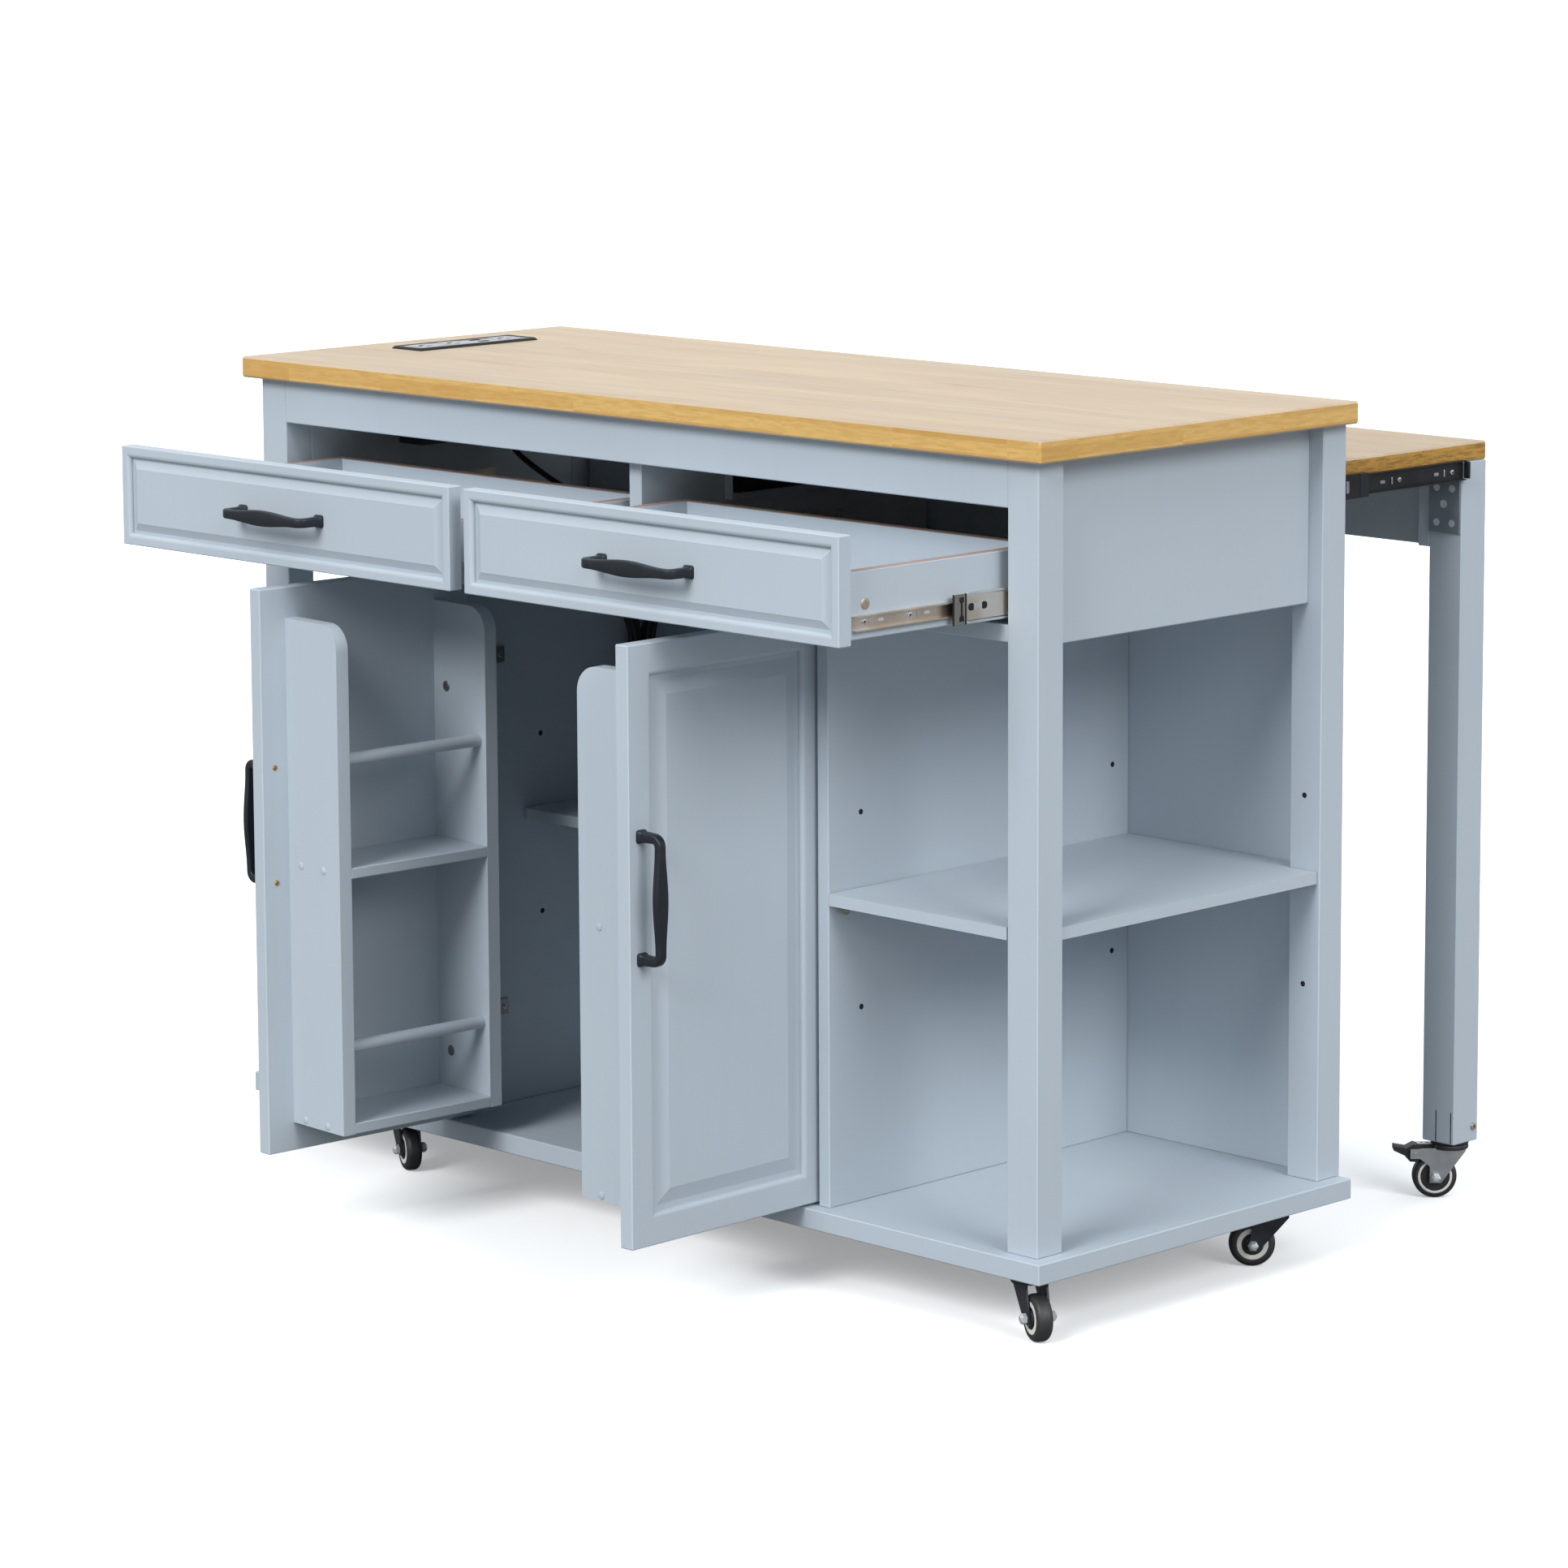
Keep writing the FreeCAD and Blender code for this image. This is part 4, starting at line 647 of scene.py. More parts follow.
# %% Wheels
wheels = {f"caster_wheel_{end}_{hand}": (AXLES[end], f"wheel_{end}_{hand}")
          for end in ("front", "back") for hand in HANDS}
wheels.update({f"leaf_caster_wheel_{hand}": (AXLES["back"], f"leaf_wheel_{hand}")
               for hand in HANDS})
for name, (axis, body) in wheels.items():
    low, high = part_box(name)
    profile = wheel_profile(*(LEAF_RING if "leaf" in name else BASE_RING))
    shape = lathe(profile, (low + high) / 2, axis, WHEEL_STEPS, closed=True)
    tyre = piece(name.replace("wheel", "tyre"), shape,
                 [FINISH["caster_wheel"], FINISH["pedal_black"], WHEEL_RING], body)
    marks = [finish_number(number // WHEEL_STEPS, len(profile)) for number in range(len(shape[1]))]
    tyre.data.polygons.foreach_set("material_index", marks)
    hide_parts(name)
print("wheels", len(wheels), "with", len(profile), "rows each")

# %% [markdown]
# ## The power cord
# The cord leaves the unit's strain relief, hangs over the guide board, drops through the hole in the
# drawer floor and ends in a tied hank: three long loops that spiral in, climb one layer and spiral out
# again, with the plug hanging below. One curve follows the whole way. Its route is a given list, and
# the hank's points come from a formula that counts eighths of a loop.

# %% The way of the cord
ROUTE_BACK = 277
CORD_ROUTE = [(-549, 343, 817), (-535, 343, 802), (-509, 343.5, 788.5), (-473, 344.5, 773),
              (-433, 344.8, 759.5), (-391, 344.2, 750), (-352, 342.8, 747), (-321, 341.6, 746.8),
              (-296, 341, 746.5), (-283.6, 340.8, 738.6), (-276.5, 340.4, 726.2),
              (-277.4, 337, 708), (-277.8, 332.5, 692)]
HANK_X, HANK_Y, HANK_Z, HANK_RUN, HANK_LOOPS = -277.8, 299, 598, 73, 3
FOLD, WAIST, STEP, LAYER = 31.5, 14.5, 8.3, 7.6
PINCH = ((FOLD - WAIST) ** 2 + HANK_RUN ** 2) / (4 * HANK_RUN)


def hank_place(eighth):
    """A control point of the hank, counted in eighths of a loop from the rear waist."""
    inward = min(eighth / 8, HANK_LOOPS - eighth / 8) * STEP
    fold, waist = FOLD - inward, WAIST - inward
    x = HANK_X + LAYER * min(max((eighth - HANK_LOOPS * 4 + 1) / 2, 0), 1)
    round_half, half = eighth % 4, 1 if eighth % 8 < 4 else -1
    if 1 < round_half < 3:
        turn = math.radians((round_half - 1) * 90)
        reach = fold / math.cos(math.radians(22.5))
        y, z = reach * math.cos(turn), -HANK_RUN - reach * math.sin(turn)
    else:
        near_waist = min(round_half, 4 - round_half) < 0.5
        y = (waist if near_waist else fold) * (1 if round_half < 2 else -1)
        z = -PINCH if near_waist else -HANK_RUN + PINCH
    return x, HANK_Y + half * y, HANK_Z + half * z


hank = [hank_place(step / 2 + 0.25) for step in range(-2, HANK_LOOPS * 16 + 2)]
tail_x, tail_y = HANK_X + LAYER, HANK_Y + FOLD
tail = [(tail_x, tail_y, HANK_Z - HANK_RUN), (tail_x, tail_y + 1, HANK_Z - HANK_RUN - 7)]
along_cord = [Vector((x, y - ROUTE_BACK, z)) * MM for x, y, z in CORD_ROUTE + hank + tail]
print("cord points", len(along_cord))

# %% Cord and hank
cord_curve = bpy.data.curves.new("power_cord_whole", "CURVE")
cord_curve.dimensions = "3D"
cord_curve.bevel_depth = 3.5 * MM
cord_curve.bevel_resolution = 6
cord_curve.resolution_u = 6
cord_curve.use_fill_caps = True
line = cord_curve.splines.new("NURBS")
line.points.add(len(along_cord) - 1)
for point, place in zip(line.points, along_cord):
    point.co = (*place, 1)
line.order_u = 3
line.use_endpoint_u = True
cord = add("power_cord_whole", cord_curve)
cord_curve.materials.append(FINISH["cord_jacket"])
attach(cord, "carcass")
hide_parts("power_cord", "power_cord_hank")

# %% [markdown]
# ## Screws, peg holes and caps
# The same few fittings repeat dozens of times: cross-head screws, peg holes, round cover caps and
# slotted cams. One geometry node tree sets them all out. It takes a small cloud of points, each with
# the direction its fitting faces, puts one fitting on every point, turns each by its own small chance
# angle, and makes the lot real. The tree is one and its fitting, finish and seed are inputs.

# %% Tree that sets out fittings
set_out_tree = bpy.data.node_groups.new("set_out", "GeometryNodeTree")
TAKES = {"Spots": "NodeSocketGeometry", "Fitting": "NodeSocketObject",
         "Finish": "NodeSocketMaterial", "Turn": "NodeSocketFloat", "Seed": "NodeSocketInt"}
sockets = {word: set_out_tree.interface.new_socket(word, in_out="INPUT", socket_type=kind)
           for word, kind in TAKES.items()}
set_out_tree.interface.new_socket("Set", in_out="OUTPUT", socket_type="NodeSocketGeometry")
tree = Tree(set_out_tree)
given = tree.node("NodeGroupInput").outputs
facing = tree.node("GeometryNodeInputNamedAttribute", {"data_type": "FLOAT_VECTOR"}, Name="facing")
aim = tree.node("FunctionNodeAlignRotationToVector", {"axis": "Z"},
                Vector=facing.outputs["Attribute"])
chance = tree.node("FunctionNodeRandomValue", {"data_type": "FLOAT"}, Seed=given["Seed"])
angle = tree.sum("MULTIPLY", tree.sum("SUBTRACT", chance.outputs[1], 0.5), given["Turn"])
spin = tree.node("FunctionNodeEulerToRotation",
                 Euler=tree.node("ShaderNodeCombineXYZ", Z=angle).outputs[0])
turned = tree.node("FunctionNodeRotateRotation", {"rotation_space": "LOCAL"},
                   Rotation=aim.outputs[0], Rotate_By=spin.outputs[0])
source = tree.node("GeometryNodeObjectInfo", Object=given["Fitting"])
placed = tree.node("GeometryNodeInstanceOnPoints", Points=given["Spots"],
                   Instance=source.outputs["Geometry"], Rotation=turned.outputs[0])
real = tree.node("GeometryNodeRealizeInstances", Geometry=placed.outputs[0])
finished = tree.node("GeometryNodeSetMaterial", Geometry=real.outputs[0], Material=given["Finish"])
tree.feed(tree.node("NodeGroupOutput").inputs[0], finished.outputs[0])


# %% Setting a fitting out
def spot(x, y, z, way):
    """A place in millimetres, and the way its fitting faces."""
    return Vector((x, y, z)) * MM, way


def set_out(name, spots, fitting, finish, body, slot, turn=0.0, seed=3):
    """One riding object with the fitting on every spot."""
    cloud = bpy.data.meshes.new(name + "_spots")
    cloud.from_pydata([place for place, _ in spots], [], [])
    attribute = cloud.attributes.new("facing", "FLOAT_VECTOR", "POINT")
    attribute.data.foreach_set("vector", [number for _, way in spots for number in way])
    holder = add(name + "_spots", cloud)
    modifier = holder.modifiers.new("set_out", "NODES")
    modifier.node_group = set_out_tree
    for word, value in (("Fitting", fitting), ("Finish", finish), ("Turn", turn), ("Seed", seed)):
        modifier[sockets[word].identifier] = value
    holder.update_tag()
    depsgraph = bpy.context.evaluated_depsgraph_get()
    mesh = bpy.data.meshes.new_from_object(holder.evaluated_get(depsgraph), depsgraph=depsgraph)
    mesh.name = name
    bpy.data.objects.remove(holder)
    print(name, len(spots), "fittings,", len(mesh.polygons), "faces")
    return riding(name, mesh, body, 35)


# %% [markdown]
# ## The fittings themselves
# A screw head is a low dome with a cross cut into it. A peg hole is a thin ring with a dark well, a
# cap is a shallow disc with a soft edge, and a cam is a broad flat disc with a cross.
# Slots, tabs and frames are thin rounded slabs. Each is built once, in millimetres in its own small
# space, with Z as the way it faces.

# %% Heads with a cross
def cross(arm, half):
    """The outline of a cross, as (x, y) places."""
    corner = [(arm, -half), (arm, half), (half, half)]
    return [(x * math.cos(q) - y * math.sin(q), x * math.sin(q) + y * math.cos(q))
            for q in (0, math.pi / 2, math.pi, math.pi * 3 / 2) for x, y in corner]


def head(name, across, high, cross_share, flat=0.55):
    """A domed head with a cross recess, as a loose fitting."""
    radius, high, round_steps = across * MM / 2, high * MM, 24
    arm = radius * cross_share
    angles = [math.tau * step / round_steps for step in range(round_steps)]
    rings = [[(r * math.cos(angle), r * math.sin(angle), z) for angle in angles]
             for r, z in ((radius, 0.0), (radius, high * 0.35), (radius * 0.9, high * 0.75),
                          (radius * flat, high))]
    rings += [[(x, y, z) for x, y in cross(arm, arm * 0.26)] for z in (high, high * 0.25)]
    build = bmesh.new()
    loops = [[build.verts.new(point) for point in ring] for ring in rings]
    edges = [[build.edges.new(pair) for pair in zip(loop, loop[1:] + loop[:1])] for loop in loops]
    for first, second in zip(edges, edges[1:]):
        bmesh.ops.bridge_loops(build, edges=first + second)
    build.faces.new(loops[-1])
    bmesh.ops.recalc_face_normals(build, faces=build.faces)
    mesh = bpy.data.meshes.new(name)
    build.to_mesh(mesh)
    build.free()
    return bpy.data.objects.new(name, mesh)


small_screw = head("small_screw", 6, 1.3, 0.55)
bracket_screw = head("bracket_screw", 8.5, 0.4, 0.55, flat=0.8)
cam = head("cam", 12, 0.8, 0.45, flat=0.85)
bolt_head = head("bolt_head", 9, 2.6, 0.5)
print("heads", [len(made.data.polygons) for made in (small_screw, bracket_screw, cam, bolt_head)])

# %% Turned fittings
TIP = 0.01


def fitting_of(name, points, faces):
    """A loose fitting from points in millimetres."""
    return bpy.data.objects.new(name, closed_mesh(name, [Vector(p) * MM for p in points], faces))


def turned_fitting(name, profile, steps=20):
    """A loose fitting turned from (up, radius) places round Z."""
    return fitting_of(name, *lathe(profile, (0, 0, 0), (0, 0, 1), steps))


well = turned_fitting("well", [(0, TIP), (0, 3.1), (0.15, 3.1), (0.225, 2.9), (0.09, 2.6),
                               (0.06, TIP)])
pin_head = turned_fitting("pin_head", [(-3, TIP), (-3, 3.4), (-0.6, 3.6), (0, 5.6), (1.4, 5.8),
                                       (1.9, 5.2), (1.3, 3.0), (2.1, 1.8), (2.3, TIP)], 24)
cap = turned_fitting("cap", [(0, TIP), (0, 4.2), (0.5, 4.2), (0.9, 3.6), (1.0, TIP)])
eyelet = turned_fitting("eyelet", [(0, TIP), (0, 4.6), (0.3, 4.6), (0.4, 4.0), (0.3, 3.4),
                                   (0.1, 3.0), (0.1, TIP)])
lock_nut = turned_fitting("lock_nut", [(0, TIP), (0, 5.9), (4.2, 5.9), (5.0, 4.9), (6.4, 3.4),
                                       (6.9, TIP)], 6)
print("turned", [len(made.data.polygons) for made in (well, pin_head, cap, eyelet, lock_nut)])

# %% Slabs and the waisted catch
def slab(name, long, high, out, corner):
    """A loose fitting: a thin rounded slab, long along its Y axis, with a bevelled rim."""
    rim = min(out / 2, corner / 2)
    rings = [[(y, x, z) for x, y in oblong(long - inset, high - inset, corner)]
             for z, inset in ((0, 0), (out - rim, 0), (out, rim * 2))]
    return fitting_of(name, *loft(rings))


QUARTER = [(12.5, 3.2), (8.5, 3.2), (6, 1.0)]
WAISTED = (QUARTER + [(-x, y) for x, y in QUARTER[::-1]] + [(-x, -y) for x, y in QUARTER]
           + [(x, -y) for x, y in QUARTER[::-1]])
spring_catch = fitting_of("spring_catch", *loft([
    [(x * share, y * share, z) for x, y in WAISTED] for z, share in ((0, 1), (0.54, 1), (0.9, 0.95))]))
slot_mark = slab("slot_mark", 8, 3.6, 0.2, 1.5)
tab_mark = slab("tab_mark", 1.6, 8, 1.0, 0.5)
dark_end = slab("dark_end", 9, 7.6, 0.25, 3.6)
pale_slot = slab("pale_slot", 12, 5.6, 0.3, 1.0)
stop_plate = slab("stop_plate", 19, 31, 0.5, 1.2)
stop_rim = slab("stop_rim", 2.4, 31.5, 0.7, 0.6)
carriage_lip = slab("carriage_lip", 250, 2.6, 0.5, 0.6)
end_frame = slab("end_frame", 14, 26, 0.4, 1.0)
window = slab("window", 5, 13, 0.3, 0.8)
end_tab = slab("end_tab", 3, 19, 7, 1.0)
print("slabs of", len(slot_mark.data.polygons), "faces")

# %% [markdown]
# ## Set out on the cabinet
# Peg holes stand above and below each shelf in the partitions and posts, so the shelves can move. The
# hinge plates, the leaf's brackets, the slides and the racks are all held by cross-head screws. The
# places are read off the photograph in real millimetres and mirrored to the hand that isn't seen.

# %% Cabinet fittings
pegs, pins, plate_screws = [], [], []
for side in HANDS.values():
    for x, ys, zs, way in ((310, (-212, 186), (511, 301), (side, 0, 0)),
                           (586, (185,), (511, 305), (0, -1, 0)),
                           (586, (-223,), (511, 305), (0, 1, 0)),
                           (294, (-118, 186), (513, 306), (-side, 0, 0))):
        pegs += [spot(side * x, y, z, way) for y in ys for z in zs]
    for x, way, ys in ((287, -1, (-100, 168)), (316.5, 1, (-242, 204)), (559.5, -1, (-242, 204))):
        pins += [spot(side * x, y, 411, (side * way, 0, 0)) for y in ys]
    plate_screws += [spot(side * 291, y, z, (-side, 0, 0)) for z in (204, 611) for y in (-181, -199)]
set_out("peg_holes", pegs, well, DARK_HOLE, "carcass", "paint")
set_out("shelf_pin_heads", pins, pin_head, BRONZE, "carcass", "pin_steel")
set_out("hinge_plate_screws", plate_screws, small_screw, FINISH["pin_steel"], "carcass",
        "hinge_nickel", 1.5, 5)

# %% [markdown]
# ## Set out on the drawers and their slides
# A drawer's side shows the cam that locks its front. The runner beside it has round screw heads, small
# upright tabs bent out of the web, and oblong slots through which the painted side shows. The carriage
# has bright lips above and below. It ends in a grey stop plate between two dark edges, with a waisted
# spring catch on it, and behind that a slot shows its two dark ends.

# %% Drawer fittings
def set_out_beside(name, middle, face, ys, zs, *rest):
    """Set a fitting out on both outer sides of a drawer or of the leaf, counted from its middle."""
    set_out(name, [spot(middle + edge * face, y, z, (edge, 0, 0))
                   for edge in BOTH for y in ys for z in zs], *rest)


DRAWER_MIDDLE, RUNNER_Z, STOP_Z = 287.75, 765.5, 764.5
SIDE_FACE, WEB_FACE, CARRIAGE_FACE = [x - DRAWER_MIDDLE for x in (553.3, 554.5, 562.8)]
BRIGHT, BLACK = FINISH["pin_steel"], FINISH["slide_black"]
drawer_sets = {
    "drawer_cams": (SIDE_FACE, (-454,), (783,), cam, BRONZE, 2.0, 9),
    "runner_screws": (WEB_FACE, (-457, -392, -250), (RUNNER_Z,), small_screw, BRIGHT, 2.5, 11),
    "runner_tabs": (WEB_FACE, (-449, -380), (RUNNER_Z,), tab_mark, BRIGHT),
    "runner_slots": (WEB_FACE, (-433, -367), (RUNNER_Z,), slot_mark, FINISH["paint"]),
    "carriage_slots": (CARRIAGE_FACE, (-311, -292), (RUNNER_Z,), dark_end, DARK_HOLE),
    "carriage_stops": (CARRIAGE_FACE, (-327,), (STOP_Z,), stop_plate, FINISH["hinge_nickel"]),
    "carriage_stop_rims": (CARRIAGE_FACE, (-337.2, -319.6), (STOP_Z,), stop_rim, BLACK),
    "carriage_catches": (CARRIAGE_FACE, (-325.5,), (STOP_Z,), spring_catch, BLACK),
    "carriage_lips": (CARRIAGE_FACE, (-192,), (779.1, 749.9), carriage_lip, BRIGHT),
    "carriage_gaps": (CARRIAGE_FACE, (-301.5,), (RUNNER_Z,), pale_slot, BRIGHT),
}
for hand, side in HANDS.items():
    for name, (face, ys, zs, fitting, finish, *chance) in drawer_sets.items():
        body = "drawer_carriage" if "carriage" in name else "drawer"
        slot = "hinge_nickel" if name == "drawer_cams" else "slide_zinc"
        set_out_beside(f"{name}_{hand}", side * DRAWER_MIDDLE, face, ys, zs, fitting, finish,
                       f"{body}_{hand}", slot, *chance)

# %% [markdown]
# ## Set out on the doors and their racks
# The doors carry the racks and the handles, so their fittings are counted in each door's own closed
# space and turned with it. Brass heads of the handle bolts show on the inner face. The rack's end
# boards have painted cover caps where screws go in, and cross screws hold the rack to the door.

# %% Door fittings
def closed_box(hand, node):
    """The corners of a door's node in the door's closed space: across from the pivot, out, up."""
    pivot = on_door(hand, 0, 0, 0)
    places = [vertex.co for vertex in NODES[node].data.vertices]
    spans = [[(place - pivot).dot(way) / MM for place in places]
             for way in (door_way(hand, 1, 0), door_way(hand, 0, 1), Vector((0, 0, 1)))]
    return [min(span) for span in spans], [max(span) for span in spans]


for hand in HANDS:
    inner = closed_box(hand, f"door_panel_{hand}")[0][1]
    rack_low, rack_high = closed_box(hand, f"door_rack_{hand}")
    screw_out, cap_out = [rack_high[1] - (rack_high[1] - rack_low[1]) * share
                          for share in (0.24, 0.68)]
    inwards, across = door_way(hand, 0, -1), door_way(hand, 1, 0)
    set_out(f"handle_bolts_{hand}",
            [(on_door(hand, HANDLE_ACROSS, inner, HANDLE_LEVEL + e * 64), inwards) for e in BOTH],
            small_screw, BRASS, f"door_{hand}", "handle_bronze", 2.0, 13)
    set_out(f"rack_caps_{hand}",
            [(on_door(hand, rack_high[0], out, z), across)
             for out in (screw_out, cap_out) for z in (416, 131)],
            cap, FINISH["paint"], f"door_{hand}", "paint")
    set_out(f"rack_end_screws_{hand}",
            [(on_door(hand, rack_low[0] + 16, screw_out, z), across) for z in (593, 178)],
            cam, FINISH["hinge_nickel"], f"door_{hand}", "hinge_nickel", 2.0, 17)

# %% [markdown]
# ## Set out on the leaf
# The leaf's black runners repeat the drawer runners, and end in a black tab. An angle plate ties each
# leg to the batten with four bright screws round one hole. Each leg's foot is slotted, so that a bolt
# can clamp the caster's stem, and the bolt's bronze head shows on its outer face.

# %% Leaf slides
LEAF_MIDDLE, LEAF_Z = 293.75, 831
LEAF_WEB, LEAF_CARRIAGE = 554.5 - LEAF_MIDDLE, 562.8 - LEAF_MIDDLE
ZINC = FINISH["caster_zinc"]
leaf_sets = {
    "leaf_runner_screws": (LEAF_WEB, (379, 471), LEAF_Z, small_screw, BRIGHT, 2.5, 19),
    "leaf_runner_tabs": (LEAF_WEB, (366, 457), LEAF_Z, tab_mark, BRIGHT),
    "leaf_runner_slots": (LEAF_WEB, (351, 444), LEAF_Z, slot_mark, ZINC),
    "leaf_carriage_ends": (LEAF_CARRIAGE, (309.5,), LEAF_Z + 1, end_frame, FINISH["handle_bronze"]),
    "leaf_carriage_windows": (LEAF_CARRIAGE, (272, 281), LEAF_Z + 1, window, ZINC),
    "leaf_end_tabs": (LEAF_WEB + 1, (493,), LEAF_Z + 1, end_tab, BLACK),
}
for name, (face, ys, z, fitting, finish, *chance) in leaf_sets.items():
    body = "leaf_carriage" if "carriage" in name else "leaf"
    slot = "pin_steel" if name == "leaf_runner_screws" else "slide_black"
    set_out_beside(name, LEAF_MIDDLE, face, ys, (z,), fitting, finish, body, slot, *chance)

# %% Leaf legs
LEG_MIDDLES, PLATE_FACE, TO_FRONT = (530.8, 56.7), 488.5, (0, -1, 0)
leg_screws = [spot(x + dx, PLATE_FACE, z, TO_FRONT)
              for x in LEG_MIDDLES for dx in (-10.9, 10.5) for z in (810, 771)]
set_out("leaf_bracket_screws", leg_screws, bracket_screw, BRIGHT_ZINC, "leaf", "pin_steel", 1.5, 23)
set_out("leaf_bracket_holes", [spot(x - 1, PLATE_FACE, 792, TO_FRONT) for x in LEG_MIDDLES], eyelet,
        BRIGHT_ZINC, "leaf", "bracket_black")
set_out("stem_bolts", [spot(LEAF_MIDDLE + e * 259.55, 525, 83, (e, 0, 0)) for e in BOTH],
        bolt_head, BRONZE, "leaf", "handle_bronze", 2.0, 29)
kerf = slab("kerf", 1.4, 36, 0.15, 0.3)
kerf.data.transform(Matrix.Rotation(math.radians(90), 4, "Z"))
set_out("foot_slots", [spot(x + dx, 491, 85, TO_FRONT) for x in LEG_MIDDLES for dx in (-3, 18)],
        kerf, DARK_HOLE, "leaf", "paint")

# %% [markdown]
# ## Collars and brake springs
# Between each leaf leg and its caster sit two black rubber flanges over a crown ring, and a flat zinc
# spring with two holes runs from the crown to the brake pedal. The pedal's tread has ribs. All of them
# are counted from the caster's own upright axis and the way its pedal points.

# %% The pedal's way, and what is turned to it
LEG_Y, LEG_UNDER = 512.5, 66
PEDAL_WAY = Vector((AXLES["back"][1], -AXLES["back"][0], 0)).normalized()
PEDAL_FROM, PEDAL_RUN, PEDAL_DOWN, PEDAL_RISE = 50.4, 13.6, 8.4, 2.4
RIB_SHARES = (0.12, 0.32, 0.52, 0.72, 0.92)
lean = math.atan2(PEDAL_RISE, PEDAL_RUN)
tread = PEDAL_WAY * -math.sin(lean) + Vector((0, 0, math.cos(lean)))
turn_to_pedal = Vector((0, 1, 0)).rotation_difference(PEDAL_WAY).to_matrix().to_4x4()
strip = slab("strip", 19, 11, 0.7, 1.0)
strip_hole = slab("strip_hole", 3, 3, 0.12, 1.4)
rib = slab("rib", 1.3, 15, 0.8, 0.5)
for fitting in (strip, strip_hole, rib):
    fitting.data.transform(turn_to_pedal)
print("pedal way", [round(share, 3) for share in PEDAL_WAY])

# %% Collars, springs and ribs
FLANGES = [(0.2, 19), (0.2, 20.9), (1.6, 21.3), (1.9, 20.2), (2.2, 20.2), (2.5, 21.3),
           (3.7, 20.9), (3.7, 19)]
CROWN_RING = [(4.6, 19), (4.6, 20.9), (6.4, 21.3), (8.6, 20.9), (9.0, 19)]


def under_leg(middle_x, reach, down, way=(0, 0, 1)):
    """A spot at a reach along the pedal's way and so far below the leg."""
    x, y, _ = PEDAL_WAY * reach
    return spot(middle_x + x, LEG_Y + y, LEG_UNDER - down, way)


for hand, middle_x in zip(HANDS, LEG_MIDDLES):
    centre = Vector((middle_x, LEG_Y, LEG_UNDER)) * MM
    caster, pedal = f"leaf_caster_{hand}", f"leaf_pedal_{hand}"
    for name, profile, body in (("flanges", FLANGES, "leaf"), ("crown_ring", CROWN_RING, caster)):
        ring = lathe([(down * MM, radius * MM) for down, radius in profile], centre, (0, 0, -1),
                     48, closed=True)
        piece(f"{name}_{hand}", ring, [FINISH["pedal_black"]], body)
    set_out(f"brake_spring_{hand}", [under_leg(middle_x, 28, 4.1)], strip, ZINC, caster,
            "caster_zinc")
    set_out(f"brake_spring_holes_{hand}", [under_leg(middle_x, reach, 3.4) for reach in (26, 32)],
            strip_hole, DARK_HOLE, caster, "caster_zinc")
    ribs = [under_leg(middle_x, PEDAL_FROM + PEDAL_RUN * share, PEDAL_DOWN - PEDAL_RISE * share,
                      tread) for share in RIB_SHARES]
    set_out(f"pedal_ribs_{hand}", ribs, rib, FINISH["pedal_black"], pedal, "pedal_black")

# %% [markdown]
# ## Axle nuts
# Every caster's axle has a bright zinc lock nut at both ends, six-sided and domed. They sit over the
# solids' plain hexagons, a little larger, so that the zinc is what shows.

# %% Axle nuts
CHEEK_FACE = 13.5 * MM
for name, (axis, body) in wheels.items():
    low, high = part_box(name)
    middle, axis = (low + high) / 2, Vector(axis)
    carrier = body.replace("leaf_wheel", "leaf_caster").replace("wheel_", "caster_")
    set_out(name.replace("wheel", "nuts"),
            [(middle + axis * CHEEK_FACE * e, axis * e) for e in BOTH], lock_nut,
            BRIGHT_ZINC, carrier, "caster_zinc", 6.0, len(name))
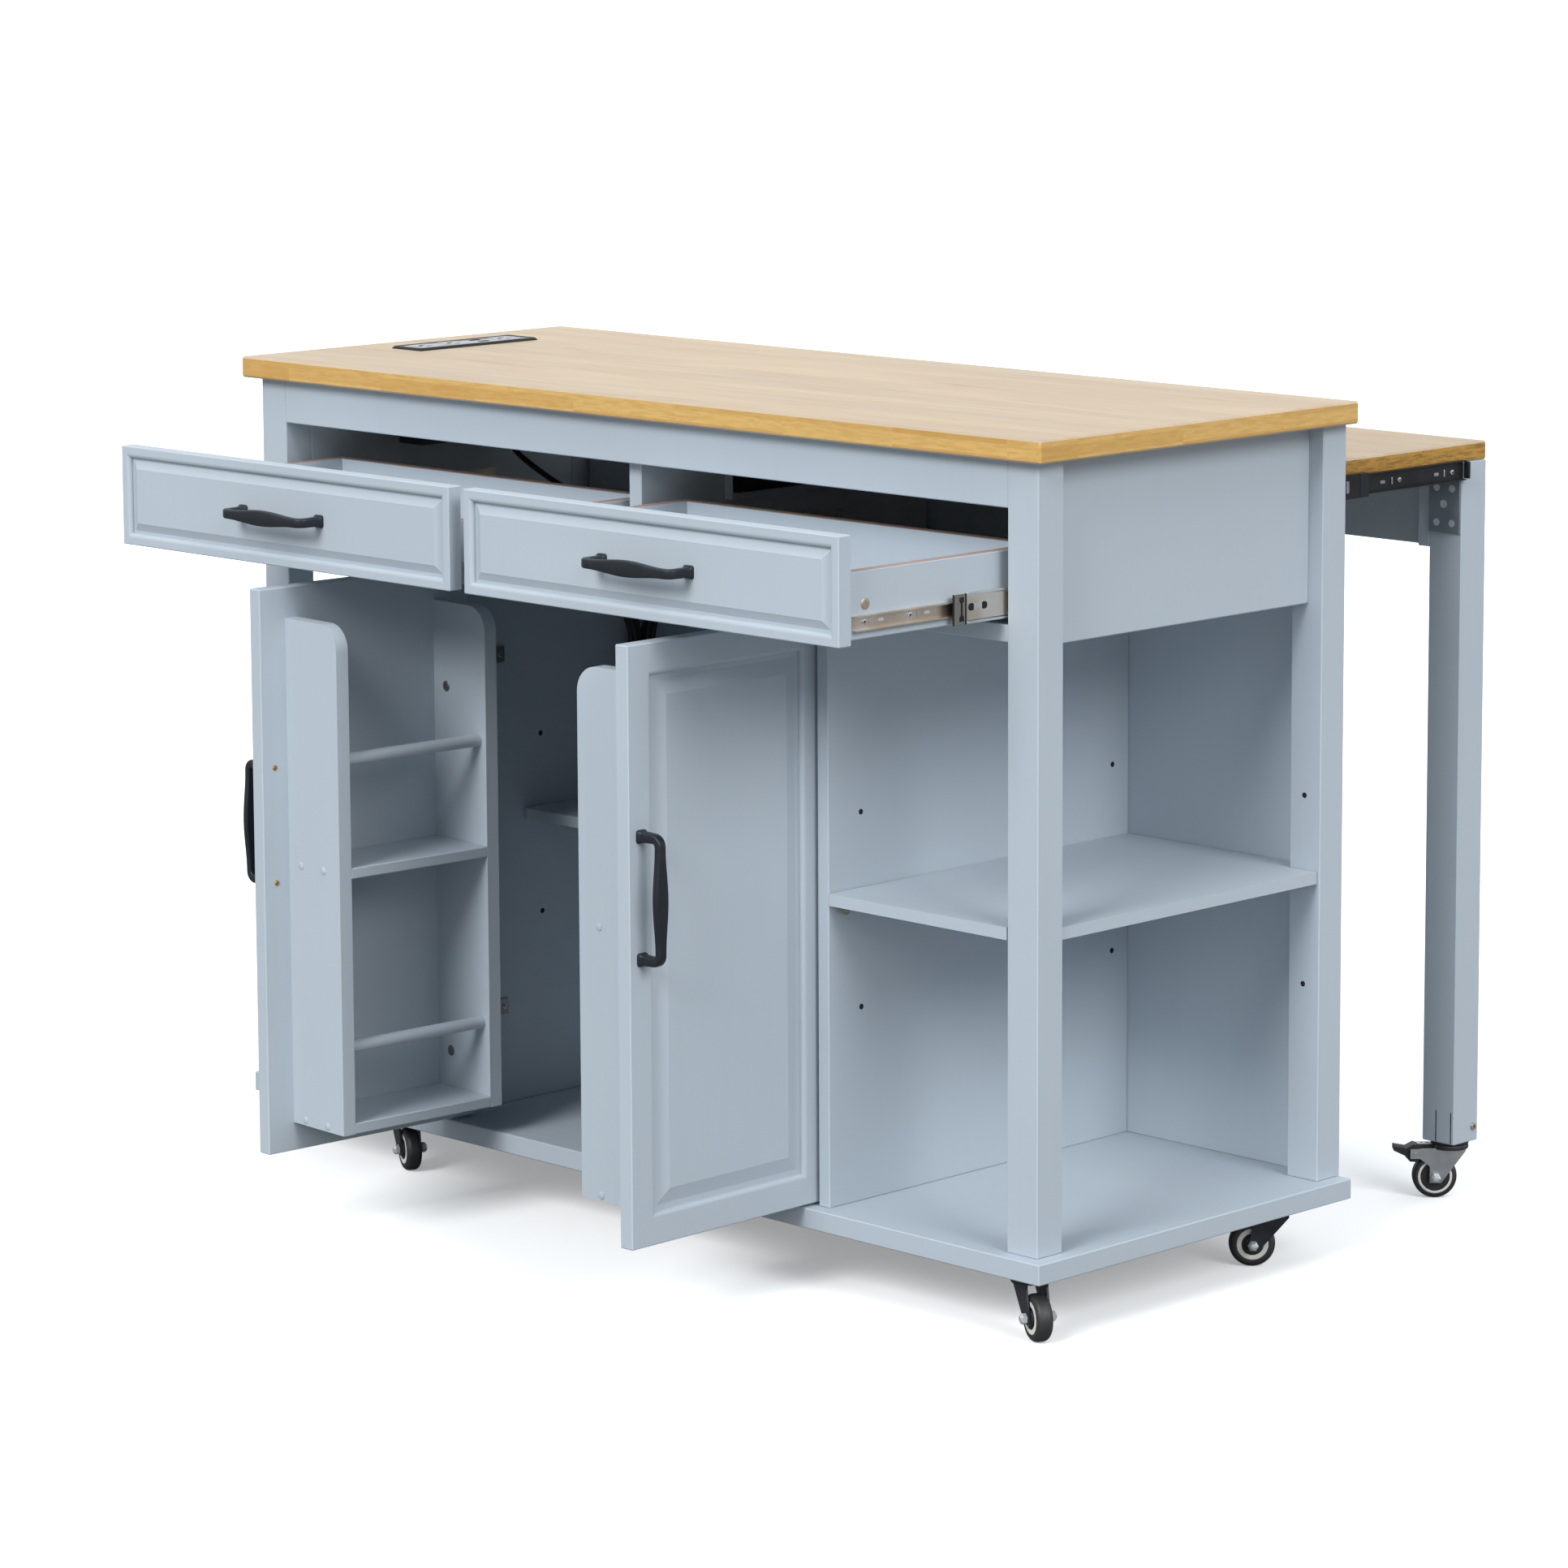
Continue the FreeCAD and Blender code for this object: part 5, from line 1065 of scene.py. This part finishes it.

# %% [markdown]
# ## The power unit's face
# The unit's face is a black frame with a chamfered rim round a glossy dark sheet. The sheet's
# blue-grey colour is a painted reflection of the bright room. A loft of rounded oblongs makes the rim
# and its step, the sheet lies inside, and three outlets and a pair of small ports are set out on it like
# the other fittings.

# %% Power unit: rim and sheet
low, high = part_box("power_faceplate")
middle = (low + high) / 2
wide, long, top = high.x - low.x, high.y - low.y, high.z
RIM, STEP_DOWN = 5.5 * MM, 0.5 * MM


def face_ring(inset, level):
    """A ring of the face at a height, drawn in from the outline by the same amount all round."""
    return [Vector((middle.x + x, middle.y + y, level))
            for x, y in oblong(wide - inset * 2, long - inset * 2, 3 * MM)]


rim = loft([face_ring(0, low.z), face_ring(0, low.z + 0.6 * MM), face_ring(2.2 * MM, top),
            face_ring(RIM - 0.8 * MM, top), face_ring(RIM, top - STEP_DOWN)])
unit_rim = piece("unit_rim", rim, [FINISH["unit_plastic"]], "carcass")
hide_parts("power_faceplate")
# The sheet's blue-grey is painted reflection on a glossy dark face.
sheet = loft([face_ring(RIM + inset * MM, top - down * MM)
              for inset, down in ((0.2, 0.5), (0.2, 0.4), (0.6, 0.3))])
piece("unit_sheet", sheet, [SHEET_REFLECTION_PAINT], "carcass")
print("sheet at", round(top, 4), "m")

# %% Power unit: outlets and ports
SHEET_DOWN, COLLAR_THICK = 0.3, 0.1
OUTLETS = (-62, -18, 62)
# The outlets' collars carry the same painted reflection as the sheet.
face_sets = {
    "outlet_faces": (slab("collar", 34, 34, COLLAR_THICK, 8), SHEET_REFLECTION_PAINT, (0,), OUTLETS, 0),
    "outlet_blades": (slab("blade", 8, 2.2, 0.12, 0.4), DARK_HOLE, (-6.4, 6.4), OUTLETS,
                      COLLAR_THICK),
    "outlet_earths": (slab("earth", 5.5, 5, 0.12, 2.4), DARK_HOLE, (0,),
                      [y - 8 for y in OUTLETS], COLLAR_THICK),
    "small_ports": (slab("port", 14, 6, 0.14, 0.8), DARK_HOLE, (-8, 8), (22,), COLLAR_THICK),
}
for name, (fitting, finish, xs, ys, rise) in face_sets.items():
    spots = [(Vector((middle.x + x * MM, middle.y + y * MM, top + (rise - SHEET_DOWN) * MM)),
              (0, 0, 1)) for y in ys for x in xs]
    set_out(name, spots, fitting, finish, "carcass", "unit_plastic")
